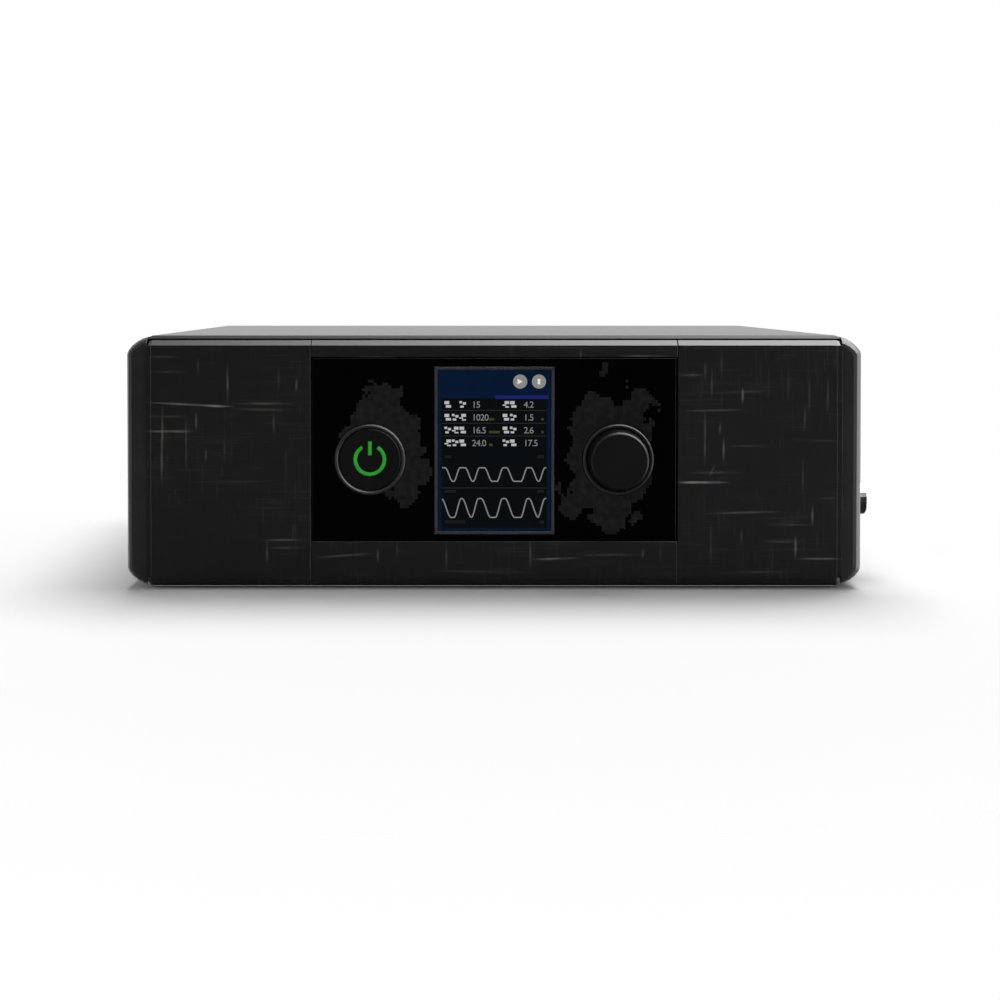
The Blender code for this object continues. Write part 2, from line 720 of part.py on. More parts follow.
def fitting_hole():
    """The hole for the gas fitting, through the right-hand wall and cheek."""
    start = INNER_HALF - CUT_OVERRUN
    stop = WIDTH / 2 + CUT_OVERRUN
    return cylinder(FITTING_BARREL_RADIUS + GAP, start, stop, "X", (FITTING_Y, FITTING_Z), SMALL_SIDES)


def cheek_section(side, inset):
    """A cheek's section across Y, drawn in by an inset: shoulders above and below, a flat between."""
    width = CHEEK_THICKNESS - inset
    drop = CHEEK_SHOULDER_DROP - inset
    low = BOTTOM + CHEEK_SETBACK + inset
    high = TOP - CHEEK_SETBACK - inset
    shoulder = []
    for step in range(CHEEK_SHOULDER_STEPS + 1):
        angle = pi / 2 * step / CHEEK_SHOULDER_STEPS
        x = side * (BODY_HALF + GAP + width * sin(angle) ** CHEEK_SHOULDER_POWER)
        shoulder.append((x, drop * (1 - cos(angle) ** CHEEK_SHOULDER_POWER)))
    upper = [(x, high - down) for x, down in shoulder]
    lower = [(x, low + down) for x, down in reversed(shoulder)]
    return upper + lower


def make_cheek(side, name):
    """End cap with drawn-in shoulders, hollow towards the case, held by four pegs."""
    front = FRONT + CHEEK_FRONT_SETBACK
    rear = REAR - CHEEK_FRONT_SETBACK
    inner = side * (BODY_HALF + GAP)
    outer = side * WIDTH / 2

    def on_rim(a, b):
        at_end = any(same(a.y, y) and same(b.y, y) for y in (front, rear))
        return at_end and not (same(a.x, inner) and same(b.x, inner))

    cheek = prism(cheek_section(side, 0), "Y", front, rear)
    bevel_edges(cheek, on_rim, CHEEK_EDGE_ROUND, CHEEK_EDGE_STEPS)
    hollow = cheek_section(side, CHEEK_WALL)
    mouth = inner - side * CUT_OVERRUN
    hollow = [(mouth, hollow[0][1])] + hollow + [(mouth, hollow[-1][1])]
    cut(cheek, prism(hollow, "Y", front + CHEEK_WALL, rear - CHEEK_WALL))
    hollow_stop = outer - side * CHEEK_WALL
    peg_start = side * (BODY_HALF - CHEEK_PEG_REACH)
    peg_stop = hollow_stop + side * JOIN_OVERLAP
    for place in CHEEK_PEG_PLACES:
        join(cheek, cylinder(CHEEK_PEG_RADIUS, peg_start, peg_stop, "X", place, SMALL_SIDES))
    if side > 0:
        cut(cheek, fitting_hole())
    node(cheek, name, "satin_black")


def panel_section():
    """The section of a front panel: a plate with a lip at the top and at the bottom."""
    low = BOTTOM - CUT_OVERRUN
    high = PANEL_TOP + CUT_OVERRUN
    return [
        (FRONT - CUT_OVERRUN, low),
        (FRONT - CUT_OVERRUN, high),
        (LIP_BACK, high),
        (LIP_BACK, PANEL_TOP - PANEL_LIP_THICKNESS),
        (PANEL_BACK, PANEL_TOP - PANEL_LIP_THICKNESS),
        (PANEL_BACK, BOTTOM + PANEL_LIP_THICKNESS),
        (LIP_BACK, BOTTOM + PANEL_LIP_THICKNESS),
        (LIP_BACK, low),
    ]


def front_panel_solid(left, right):
    """A front panel between two places, its edges at the upright seams chamfered."""
    panel = keep_inside(prism(panel_section(), "X", left, right), panel_envelope())
    reach = FRONT + max(PANEL_BEVEL, PANEL_FOOT_ROUND) + GAP / 2

    def on_seam(a, b):
        at_seam = any(same(a.x, x) and same(b.x, x) for x in (left, right))
        return at_seam and a.y < reach and b.y < reach

    return bevel_edges(panel, on_seam, PANEL_EDGE_CHAMFER)


def add_panel_pegs(panel, places):
    """Join the pegs that hold a panel in the front frame."""
    start = PANEL_BACK - JOIN_OVERLAP
    stop = PANEL_BACK + PANEL_PEG_REACH
    for place in places:
        join(panel, cylinder(PANEL_PEG_RADIUS, start, stop, "Y", place, SMALL_SIDES))


def side_peg_places(side):
    """Where a side panel is pegged, near its two ends."""
    near = side * (PANEL_SPLIT_X + PANEL_PEG_INSET)
    far = side * (BODY_HALF - PANEL_PEG_INSET)
    return [(x, z) for x in (near, far) for z in (FRAME_PEG_LOW, FRAME_PEG_HIGH)]


def centre_peg_places():
    """Where the centre panel is pegged, above and below the window."""
    x = FRAME_WINDOW_HALF - PANEL_PEG_INSET
    return [(side * x, z) for side in (-1, 1) for z in (FRAME_PEG_LOW, FRAME_PEG_HIGH)]


def make_side_panels():
    """The two outer front panels."""
    for side, name in ((-1, "left_front_panel"), (1, "right_front_panel")):
        near = side * (PANEL_SPLIT_X + GAP / 2)
        far = side * (BODY_HALF + CUT_OVERRUN)
        panel = front_panel_solid(min(near, far), max(near, far))
        add_panel_pegs(panel, side_peg_places(side))
        node(panel, name, "linen_black")


def make_centre_panel():
    """The middle front panel, with the recess that the window lies in."""
    half = PANEL_SPLIT_X - GAP / 2
    panel = front_panel_solid(-half, half)
    recess_low = (-half - CUT_OVERRUN, FRONT - CUT_OVERRUN, WINDOW_BOTTOM - GAP)
    recess_high = (half + CUT_OVERRUN, BACKING_FRONT, WINDOW_TOP + GAP)
    cut(panel, box(recess_low, recess_high))
    cut(panel, display_hole())
    back = PANEL_BACK + CUT_OVERRUN
    cut(panel, cylinder(BUTTON_RING_RADIUS + GAP, FRONT, back, "Y", (BUTTON_X, CONTROL_Z)))
    cut(panel, cylinder(BUSHING_RADIUS + GAP, FRONT, back, "Y", (KNOB_X, CONTROL_Z), SMALL_SIDES))
    add_panel_pegs(panel, centre_peg_places())
    node(panel, "centre_front_panel", "linen_black")


def display_hole():
    """The opening for the display, through the window and what backs it."""
    half_width = DISPLAY_WIDTH / 2 + GAP
    low = (-half_width, FRONT - CUT_OVERRUN, DISPLAY_LOW - GAP)
    high = (half_width, PANEL_BACK + CUT_OVERRUN, DISPLAY_HIGH + GAP)
    return box(low, high)


def make_front_frame():
    """Plate behind the panels, with the panels' peg holes and the front board's standoffs."""
    half = INNER_HALF - GAP
    low = FLOOR_TOP + GAP
    high = PANEL_TOP - PANEL_LIP_THICKNESS - GAP
    frame = box((-half, FRAME_FRONT, low), (half, FRAME_BACK, high))
    front = FRAME_FRONT - CUT_OVERRUN
    back = FRAME_BACK + CUT_OVERRUN
    window_low = (-FRAME_WINDOW_HALF, front, WINDOW_BOTTOM)
    window_high = (FRAME_WINDOW_HALF, back, FRAME_WINDOW_TOP)
    cut(frame, box(window_low, window_high))
    for place in side_peg_places(-1) + side_peg_places(1) + centre_peg_places():
        cut(frame, cylinder(PANEL_PEG_RADIUS + GAP, front, back, "Y", place, SMALL_SIDES))
    for place in front_board_holds():
        start = FRAME_BACK - JOIN_OVERLAP
        join(frame, cylinder(STANDOFF_RADIUS, start, BOARD_FRONT - GAP, "Y", place, SMALL_SIDES))
    node(frame, "front_frame", "dark_grey")


def front_board_holds():
    """Where the front board rests on the frame, beside the frame's window."""
    x = FRONT_BOARD_HALF - FRONT_BOARD_HOLD_INSET
    heights = (FRONT_BOARD_BOTTOM + BOARD_HOLD_INSET, FRONT_BOARD_TOP - BOARD_HOLD_INSET)
    return [(side * x, z) for side in (-1, 1) for z in heights]


def make_front_window():
    """Glossy black window with holes for the display and the two controls."""
    window = box((-WINDOW_HALF, FRONT, WINDOW_BOTTOM), (WINDOW_HALF, WINDOW_BACK, WINDOW_TOP))
    bevel_edges(window, lambda a, b: same(a.y, FRONT) and same(b.y, FRONT), WINDOW_EDGE_CHAMFER)
    cut(window, display_hole())
    front = FRONT - CUT_OVERRUN
    back = WINDOW_BACK + CUT_OVERRUN
    for x, radius in ((BUTTON_X, BUTTON_RING_RADIUS), (KNOB_X, KNOB_RING_RADIUS)):
        cut(window, cylinder(radius + GAP, front, back, "Y", (x, CONTROL_Z), FINE_SIDES))
    node(window, "front_window", "gloss_black")


def make_display():
    """Thin grey frame, cover glass and the display module behind them."""
    half_width = DISPLAY_WIDTH / 2
    front = FRONT - DISPLAY_FRAME_PROUD
    back = front + DISPLAY_FRAME_DEPTH
    frame = box((-half_width, front, DISPLAY_LOW), (half_width, back, DISPLAY_HIGH))
    bar = DISPLAY_FRAME_BAR
    hole_low = (-half_width + bar, front - CUT_OVERRUN, DISPLAY_LOW + bar)
    hole_high = (half_width - bar, back + CUT_OVERRUN, DISPLAY_HIGH - bar)
    cut(frame, box(hole_low, hole_high))
    node(frame, "display_frame", "display_grey")

    inset = bar + GAP
    glass_front = FRONT + DISPLAY_GLASS_SINK
    glass_back = glass_front + DISPLAY_GLASS_THICKNESS
    glass_low = (-half_width + inset, glass_front, DISPLAY_LOW + inset)
    glass_high = (half_width - inset, glass_back, DISPLAY_HIGH - inset)
    node(box(glass_low, glass_high), "display_glass", "display_glass")

    module_front = max(back, glass_back) + GAP
    module_back = BOARD_FRONT - GAP
    module = box((-half_width, module_front, DISPLAY_LOW), (half_width, module_back, DISPLAY_HIGH))
    node(module, "display_module", "steel")


def make_front_board():
    """Circuit board behind the front frame."""
    low = (-FRONT_BOARD_HALF, BOARD_FRONT, FRONT_BOARD_BOTTOM)
    high = (FRONT_BOARD_HALF, BOARD_FRONT + BOARD_THICKNESS, FRONT_BOARD_TOP)
    node(box(low, high), "front_board", "board_green")


def symbol_outlines(clearance):
    """The power symbol's broken ring and its bar, widened all round by a clearance."""
    outer = SYMBOL_RADIUS + SYMBOL_STROKE / 2 + clearance
    inner = SYMBOL_RADIUS - SYMBOL_STROKE / 2 - clearance
    half_gap = SYMBOL_GAP_ANGLE - clearance / SYMBOL_RADIUS
    start = pi / 2 + half_gap
    sweep = 2 * pi - 2 * half_gap
    angles = [start + sweep * step / SYMBOL_ARC_STEPS for step in range(SYMBOL_ARC_STEPS + 1)]
    ring = [(BUTTON_X + outer * cos(a), CONTROL_Z + outer * sin(a)) for a in angles]
    ring += [(BUTTON_X + inner * cos(a), CONTROL_Z + inner * sin(a)) for a in reversed(angles)]
    half = SYMBOL_STROKE / 2 + clearance
    top = CONTROL_Z + SYMBOL_BAR_TOP + clearance
    low = CONTROL_Z + SYMBOL_BAR_TOP - SYMBOL_BAR_LENGTH - clearance
    bar = [(BUTTON_X - half, low), (BUTTON_X + half, low), (BUTTON_X + half, top), (BUTTON_X - half, top)]
    return ring, bar


def make_power_button():
    """Trim ring, cap with the symbol cut through it, green light guide, switch and plunger."""
    centre = (BUTTON_X, CONTROL_Z)
    ring_bore = BUTTON_RING_RADIUS - BUTTON_RING_BAR
    flange_front = PANEL_BACK + GAP
    flange_back = flange_front + BUTTON_FLANGE_THICKNESS
    ring_front = FRONT - BUTTON_RING_PROUD
    chamfer = BUTTON_RING_EDGE
    ring_profile = [
        (ring_bore, ring_front + chamfer),
        (ring_bore + chamfer, ring_front),
        (BUTTON_RING_RADIUS - chamfer, ring_front),
        (BUTTON_RING_RADIUS, ring_front + chamfer),
        (BUTTON_RING_RADIUS, flange_front),
        (BUTTON_RING_RADIUS + BUTTON_RING_FLANGE, flange_front),
        (BUTTON_RING_RADIUS + BUTTON_RING_FLANGE, flange_back),
        (ring_bore, flange_back),
    ]
    node(turned(ring_profile, "Y", centre, FINE_SIDES), "power_button_ring", "satin_black")

    cap_radius = ring_bore - GAP
    cap_front = FRONT - BUTTON_CAP_PROUD
    face_back = cap_front + BUTTON_CAP_FACE
    stop_front = flange_back + GAP
    stop_back = stop_front + BUTTON_FLANGE_THICKNESS
    cap_profile = [
        (0, cap_front),
        (cap_radius - BUTTON_CAP_EDGE, cap_front),
        (cap_radius, cap_front + BUTTON_CAP_EDGE),
        (cap_radius, stop_front),
        (BUTTON_RING_RADIUS, stop_front),
        (BUTTON_RING_RADIUS, stop_back),
        (cap_radius - BUTTON_CAP_WALL, stop_back),
        (cap_radius - BUTTON_CAP_WALL, face_back),
        (0, face_back),
    ]
    cap = turned(cap_profile, "Y", centre, FINE_SIDES)
    for outline in symbol_outlines(SYMBOL_CLEARANCE):
        cut(cap, prism(outline, "Y", cap_front - CUT_OVERRUN, face_back + CUT_OVERRUN))
    node(cap, "power_button", "gloss_black")

    guide_front = face_back + GAP
    guide_back = guide_front + GUIDE_THICKNESS
    switch_back = BOARD_FRONT - GAP
    switch_front = switch_back - SWITCH_DEPTH
    plunger_front = switch_front - PLUNGER_PROUD
    guide_profile = [
        (0, guide_front),
        (GUIDE_RADIUS, guide_front),
        (GUIDE_RADIUS, guide_back),
        (GUIDE_STEM_RADIUS, guide_back),
        (GUIDE_STEM_RADIUS, plunger_front - GAP),
        (0, plunger_front - GAP),
    ]
    guide = turned(guide_profile, "Y", centre, ROUND_SIDES)
    for outline in symbol_outlines(0):
        join(guide, prism(outline, "Y", cap_front, guide_front + JOIN_OVERLAP))
    node(guide, "power_light_guide", "green_light")

    half = SWITCH_SIZE / 2
    switch_low = (BUTTON_X - half, switch_front, CONTROL_Z - half)
    switch_high = (BUTTON_X + half, switch_back, CONTROL_Z + half)
    switch = box(switch_low, switch_high)
    bore_back = switch_back - SWITCH_FLOOR
    bore = cylinder(PLUNGER_RADIUS + GAP, switch_front - CUT_OVERRUN, bore_back, "Y", centre, SMALL_SIDES)
    cut(switch, bore)
    node(switch, "power_switch", "dark_grey")

    plunger_back = bore_back - BUTTON_TRAVEL - PLUNGER_BASE_CLEARANCE
    plunger = cylinder(PLUNGER_RADIUS, plunger_front, plunger_back, "Y", centre, SMALL_SIDES)
    node(plunger, "power_switch_plunger", "white_plastic")
    for name in ("power_button", "power_light_guide", "power_switch_plunger"):
        set_origin(bpy.data.objects[name], (BUTTON_X, cap_front, CONTROL_Z))


def make_selector():
    """Trim ring, turning and pressing knob, encoder, its shaft and its plunger."""
    centre = (KNOB_X, CONTROL_Z)
    bore = KNOB_RING_RADIUS - KNOB_RING_BAR
    front = FRONT - KNOB_RING_PROUD
    chamfer = KNOB_RING_EDGE
    ring_profile = [
        (bore, front + chamfer),
        (bore + chamfer, front),
        (KNOB_RING_RADIUS - chamfer, front),
        (KNOB_RING_RADIUS, front + chamfer),
        (KNOB_RING_RADIUS, WINDOW_BACK),
        (bore, WINDOW_BACK),
    ]
    node(turned(ring_profile, "Y", centre, FINE_SIDES), "knob_ring", "satin_black")

    base = BACKING_FRONT - KNOB_TRAVEL - KNOB_BASE_SETBACK
    shaft_front = KNOB_TIP + ENCODER_SHAFT_TIP + GAP
    shaft_bore = ENCODER_SHAFT_RADIUS + GAP
    face_back = KNOB_TIP + KNOB_FACE_THICKNESS
    knob_profile = [
        (0, KNOB_TIP),
        (KNOB_FACE_RADIUS - KNOB_EDGE, KNOB_TIP),
        (KNOB_FACE_RADIUS, KNOB_TIP + KNOB_EDGE),
        (KNOB_BASE_RADIUS, base),
        (KNOB_BASE_RADIUS - KNOB_WALL, base),
        (KNOB_FACE_RADIUS - KNOB_WALL, face_back),
        (KNOB_HUB_RADIUS, face_back),
        (KNOB_HUB_RADIUS, base),
        (shaft_bore, base),
        (shaft_bore, shaft_front - GAP),
        (0, shaft_front - GAP),
    ]
    knob = node(turned(knob_profile, "Y", centre, FINE_SIDES), "selector_knob", "satin_black")

    encoder_back = BOARD_FRONT - GAP
    encoder_front = encoder_back - ENCODER_DEPTH
    half = ENCODER_SIZE / 2
    encoder_low = (KNOB_X - half, encoder_front, CONTROL_Z - half)
    encoder_high = (KNOB_X + half, encoder_back, CONTROL_Z + half)
    encoder = box(encoder_low, encoder_high)
    join(encoder, cylinder(BUSHING_RADIUS, BACKING_FRONT, encoder_front + JOIN_OVERLAP, "Y", centre))
    bore_back = encoder_back - ENCODER_FLOOR
    cut(encoder, cylinder(shaft_bore, BACKING_FRONT - CUT_OVERRUN, bore_back, "Y", centre))
    node(encoder, "encoder_body", "grey_plastic")

    plunger_back = bore_back - KNOB_TRAVEL - GAP
    plunger_front = plunger_back - ENCODER_PLUNGER_LENGTH
    plunger = cylinder(ENCODER_SHAFT_RADIUS, plunger_front, plunger_back, "Y", centre)
    node(plunger, "encoder_plunger", "white_plastic")
    shaft = cylinder(ENCODER_SHAFT_RADIUS, shaft_front, plunger_front - GAP, "Y", centre)
    node(shaft, "encoder_shaft", "steel")
    for piece in (knob, plunger, shaft):
        set_origin(piece, (KNOB_X, KNOB_TIP, CONTROL_Z))


def make_rear_panel():
    """Recessed rear panel with the openings for the filter, outlet, mains and cooling."""
    half = INNER_HALF - GAP
    panel = box((-half, REAR_PANEL_FRONT, FLOOR_TOP + GAP), (half, REAR_PANEL_BACK, ROOF - GAP))
    front = REAR_PANEL_FRONT - CUT_OVERRUN
    back = REAR_PANEL_BACK + CUT_OVERRUN
    cut(panel, box((FILTER_LEFT, front, FILTER_BOTTOM), (FILTER_RIGHT, back, FILTER_TOP)))
    cut(panel, cylinder(SPOUT_RADIUS + GAP, front, back, "Y", (SPOUT_X, SPOUT_Z)))
    cut(panel, panel_hole(INLET_X, INLET_WIDTH, INLET_HEIGHT, front, back))
    cut(panel, panel_hole(ROCKER_X, ROCKER_WIDTH, ROCKER_HEIGHT, front, back))
    for step in range(VENT_COUNT):
        x = VENT_X + VENT_PITCH * (step - (VENT_COUNT - 1) / 2)
        low = (x - VENT_WIDTH / 2, front, VENT_LOW)
        high = (x + VENT_WIDTH / 2, back, VENT_HIGH)
        cut(panel, box(low, high))
    node(panel, "rear_panel", "satin_black")


def panel_hole(x, width, height, front, back):
    """A hole in the rear panel around a fitting of the given size."""
    half_width = width / 2 + GAP
    half_height = height / 2 + GAP
    low = (x - half_width, front, INLET_Z - half_height)
    high = (x + half_width, back, INLET_Z + half_height)
    return box(low, high)


def make_noise_box():
    """Box around the blower, its lid and its foam lining."""
    case = box((BOX_LEFT, BOX_FRONT, BOX_BOTTOM), (BOX_RIGHT, BOX_REAR, BOX_TOP))
    inner_low = (BOX_LEFT + BOX_WALL, BOX_FRONT + BOX_WALL, BOX_BOTTOM + BOX_WALL)
    inner_high = (BOX_RIGHT - BOX_WALL, BOX_REAR - BOX_WALL, BOX_TOP + CUT_OVERRUN)
    cut(case, box(inner_low, inner_high))
    front = BOX_REAR - BOX_WALL - CUT_OVERRUN
    back = BOX_REAR + CUT_OVERRUN
    cut(case, box((FILTER_LEFT, front, FILTER_BOTTOM), (FILTER_RIGHT, back, FILTER_TOP)))
    cut(case, cylinder(SPOUT_RADIUS + GAP, front, back, "Y", (SPOUT_X, SPOUT_Z)))
    start = BOX_RIGHT - BOX_WALL - CUT_OVERRUN
    stop = BOX_RIGHT + CUT_OVERRUN
    cut(case, cylinder(TUBE_RADIUS + GAP, start, stop, "X", (tube_join_y(), FITTING_Z), SMALL_SIDES))
    node(case, "noise_box", "grey_plastic")

    lid_low = BOX_TOP + GAP
    lid = box((BOX_LEFT, BOX_FRONT, lid_low), (BOX_RIGHT, BOX_REAR, lid_low + BOX_LID_THICKNESS))
    node(lid, "noise_box_lid", "grey_plastic")

    left = BOX_LEFT + BOX_WALL + GAP
    right = BOX_RIGHT - BOX_WALL - GAP
    near = BOX_FRONT + BOX_WALL + GAP
    far = BOX_REAR - BOX_WALL - FOAM_REAR_CLEARANCE
    lining = [
        (left, near),
        (right, near),
        (right, near + FOAM_THICKNESS),
        (left + FOAM_THICKNESS, near + FOAM_THICKNESS),
        (left + FOAM_THICKNESS, far),
        (left, far),
    ]
    foam_low = BOX_BOTTOM + BOX_WALL + GAP
    foam = prism(lining, "Z", foam_low, BOX_TOP - FOAM_TOP_CLEARANCE)
    node(foam, "noise_foam", "foam")


def volute_half(low, high):
    """One half of the blower housing, between two heights: a round cup with half a spout."""
    centre = (BLOWER_X, BLOWER_Y)
    half = cylinder(VOLUTE_RADIUS, VOLUTE_BOTTOM, VOLUTE_TOP, "Z", centre, FINE_SIDES)
    spout_centre = (SPOUT_X, SPOUT_Z)
    join(half, cylinder(SPOUT_RADIUS, BLOWER_Y, SPOUT_TIP, "Y", spout_centre))
    floor = VOLUTE_BOTTOM + VOLUTE_WALL
    ceiling = VOLUTE_TOP - VOLUTE_WALL
    cut(half, cylinder(VOLUTE_RADIUS - VOLUTE_WALL, floor, ceiling, "Z", centre, FINE_SIDES))
    cut(half, cylinder(SPOUT_BORE, BLOWER_Y, SPOUT_TIP + CUT_OVERRUN, "Y", spout_centre))
    reach = VOLUTE_RADIUS + SPOUT_END
    low_corner = (BLOWER_X - reach, BLOWER_Y - reach, low)
    high_corner = (BLOWER_X + reach, BLOWER_Y + reach, high)
    return keep_inside(half, box(low_corner, high_corner))


def make_blower():
    """Two housing halves on rubber mounts, with the motor and the impeller."""
    centre = (BLOWER_X, BLOWER_Y)
    lower = volute_half(VOLUTE_BOTTOM - CUT_OVERRUN, SPOUT_Z - GAP / 2)
    inlet_top = VOLUTE_BOTTOM + VOLUTE_WALL + CUT_OVERRUN
    cut(lower, cylinder(VOLUTE_INLET_RADIUS, VOLUTE_BOTTOM - CUT_OVERRUN, inlet_top, "Z", centre))
    node(lower, "blower_lower_housing", "white_plastic")

    upper = volute_half(SPOUT_Z + GAP / 2, VOLUTE_TOP + CUT_OVERRUN)
    shaft_hole = ROTOR_SHAFT_RADIUS + ROTOR_RUNNING_GAP
    hole_low = VOLUTE_TOP - VOLUTE_WALL - CUT_OVERRUN
    cut(upper, cylinder(shaft_hole, hole_low, VOLUTE_TOP + CUT_OVERRUN, "Z", centre, SMALL_SIDES))
    node(upper, "blower_upper_housing", "white_plastic")

    mount_low = BOX_BOTTOM + BOX_WALL + GAP
    for step in range(MOUNT_COUNT):
        angle = 2 * pi * (step + MOUNT_TURN_SHARE) / MOUNT_COUNT
        place = (BLOWER_X + MOUNT_CIRCLE * cos(angle), BLOWER_Y + MOUNT_CIRCLE * sin(angle))
        mount = cylinder(MOUNT_RADIUS, mount_low, mount_low + MOUNT_HEIGHT, "Z", place, SMALL_SIDES)
        node(mount, f"blower_mount_{step + 1}", "rubber")

    make_motor(centre)


def blade_outline(turn):
    """One swept impeller blade seen from above, from the hub to the rim."""
    left, right = [], []
    for step in range(BLADE_STEPS + 1):
        share = step / BLADE_STEPS
        radius = BLADE_ROOT_RADIUS + (IMPELLER_RADIUS - BLADE_ROOT_RADIUS) * share
        angle = turn - BLADE_SWEEP * share
        side = BLADE_THICKNESS / 2
        x = BLOWER_X + radius * cos(angle)
        y = BLOWER_Y + radius * sin(angle)
        left.append((x - side * sin(angle), y + side * cos(angle)))
        right.append((x + side * sin(angle), y - side * cos(angle)))
    return left + right[::-1]


def make_motor(centre):
    """Impeller, shaft and rotor bell, which turn, and the stator that they turn about."""
    disc_top = VOLUTE_TOP - VOLUTE_WALL - IMPELLER_CLEARANCE
    disc_low = disc_top - IMPELLER_DISC_THICKNESS
    blade_low = VOLUTE_BOTTOM + VOLUTE_WALL + IMPELLER_CLEARANCE
    bore = ROTOR_SHAFT_RADIUS + GAP
    impeller_profile = [
        (bore, disc_top),
        (IMPELLER_RADIUS, disc_top),
        (IMPELLER_RADIUS, disc_low),
        (IMPELLER_HUB_RADIUS, disc_low),
        (IMPELLER_HUB_RADIUS, blade_low),
        (bore, blade_low),
    ]
    impeller = turned(impeller_profile, "Z", centre)
    for step in range(IMPELLER_BLADES):
        outline = blade_outline(2 * pi * step / IMPELLER_BLADES)
        join(impeller, prism(outline, "Z", blade_low, disc_low + IMPELLER_DISC_THICKNESS / 2))
    node(impeller, "impeller", "white_plastic")

    flange_low = VOLUTE_TOP + GAP
    flange_top = flange_low + STATOR_FLANGE_THICKNESS
    stator_bore = ROTOR_SHAFT_RADIUS + ROTOR_RUNNING_GAP
    stator_profile = [
        (stator_bore, flange_low),
        (STATOR_FLANGE_RADIUS, flange_low),
        (STATOR_FLANGE_RADIUS, flange_top),
        (STATOR_RADIUS, flange_top),
        (STATOR_RADIUS, STATOR_TOP),
        (stator_bore, STATOR_TOP),
    ]
    node(turned(stator_profile, "Z", centre), "motor_stator", "copper")

    bell_low = flange_top + ROTOR_RUNNING_GAP
    bell_inner = STATOR_RADIUS + ROTOR_RUNNING_GAP
    bell_profile = [
        (bore, BELL_CEILING),
        (bell_inner, BELL_CEILING),
        (bell_inner, bell_low),
        (bell_inner + ROTOR_BELL_WALL, bell_low),
        (bell_inner + ROTOR_BELL_WALL, BELL_TOP),
        (bore, BELL_TOP),
    ]
    node(turned(bell_profile, "Z", centre), "motor_rotor", "steel")
    shaft = cylinder(ROTOR_SHAFT_RADIUS, blade_low, BELL_TOP, "Z", centre, SMALL_SIDES)
    node(shaft, "rotor_shaft", "steel")
    for name in ("impeller", "motor_rotor", "rotor_shaft"):
        set_origin(bpy.data.objects[name], (BLOWER_X, BLOWER_Y, blade_low))


def make_outlet():
    """Rubber sleeve from the blower, and the tapered port on the rear panel."""
    centre = (SPOUT_X, SPOUT_Z)
    sleeve = tube(SLEEVE_RADIUS, SLEEVE_BORE, SLEEVE_FRONT, SLEEVE_REAR, "Y", centre)
    node(sleeve, "outlet_sleeve", "rubber")
    flange_back = PORT_FLANGE_FRONT + PORT_FLANGE_THICKNESS
    port_profile = [
        (SPOUT_BORE, PORT_FRONT),
        (SPOUT_RADIUS, PORT_FRONT),
        (SPOUT_RADIUS, PORT_FLANGE_FRONT),
        (PORT_FLANGE_RADIUS, PORT_FLANGE_FRONT),
        (PORT_FLANGE_RADIUS, flange_back - PORT_EDGE),
        (PORT_FLANGE_RADIUS - PORT_EDGE, flange_back),
        (PORT_RADIUS, flange_back),
        (PORT_TIP_RADIUS, PORT_TIP - PORT_EDGE),
        (PORT_TIP_RADIUS - PORT_EDGE, PORT_TIP),
        (SPOUT_BORE, PORT_TIP),
    ]
    node(turned(port_profile, "Y", centre, FINE_SIDES), "outlet_port", "satin_black")


def make_filter():
    """Filter pad in the rear opening, and the slotted cover that pulls off it."""
    pad_back = REAR_PANEL_BACK - GAP
    pad_low = (FILTER_LEFT + GAP, pad_back - FILTER_DEPTH, FILTER_BOTTOM + GAP)
    pad_high = (FILTER_RIGHT - GAP, pad_back, FILTER_TOP - GAP)
    node(box(pad_low, pad_high), "inlet_filter", "filter")

    front = REAR_PANEL_BACK + GAP
    back = front + COVER_THICKNESS
    left = FILTER_LEFT - COVER_MARGIN
    right = FILTER_RIGHT + COVER_MARGIN
    low = FILTER_BOTTOM - COVER_MARGIN
    high = FILTER_TOP + COVER_MARGIN
    cover = box((left, front, low), (right, back, high))
    bevel_edges(cover, lambda a, b: same(a.y, back) and same(b.y, back), COVER_EDGE)
    first = FILTER_BOTTOM + COVER_SLOT_MARGIN
    last = FILTER_TOP - COVER_SLOT_MARGIN
    for step in range(COVER_SLOTS):
        middle = first + (last - first) * step / (COVER_SLOTS - 1)
        slot_low = (FILTER_LEFT + COVER_MARGIN, front - CUT_OVERRUN, middle - COVER_SLOT_HEIGHT / 2)
        slot_high = (FILTER_RIGHT - COVER_MARGIN, back + CUT_OVERRUN, middle + COVER_SLOT_HEIGHT / 2)
        cut(cover, box(slot_low, slot_high))
    middle_x = (left + right) / 2
    tab_low = (middle_x - COVER_TAB_WIDTH / 2, back - JOIN_OVERLAP, high - COVER_EDGE - COVER_TAB_HEIGHT)
    tab_high = (middle_x + COVER_TAB_WIDTH / 2, back + COVER_TAB_PROUD, high - COVER_EDGE)
    join(cover, box(tab_low, tab_high))
    node(cover, "filter_cover", "satin_black")
    set_origin(cover, (middle_x, front, (low + high) / 2))


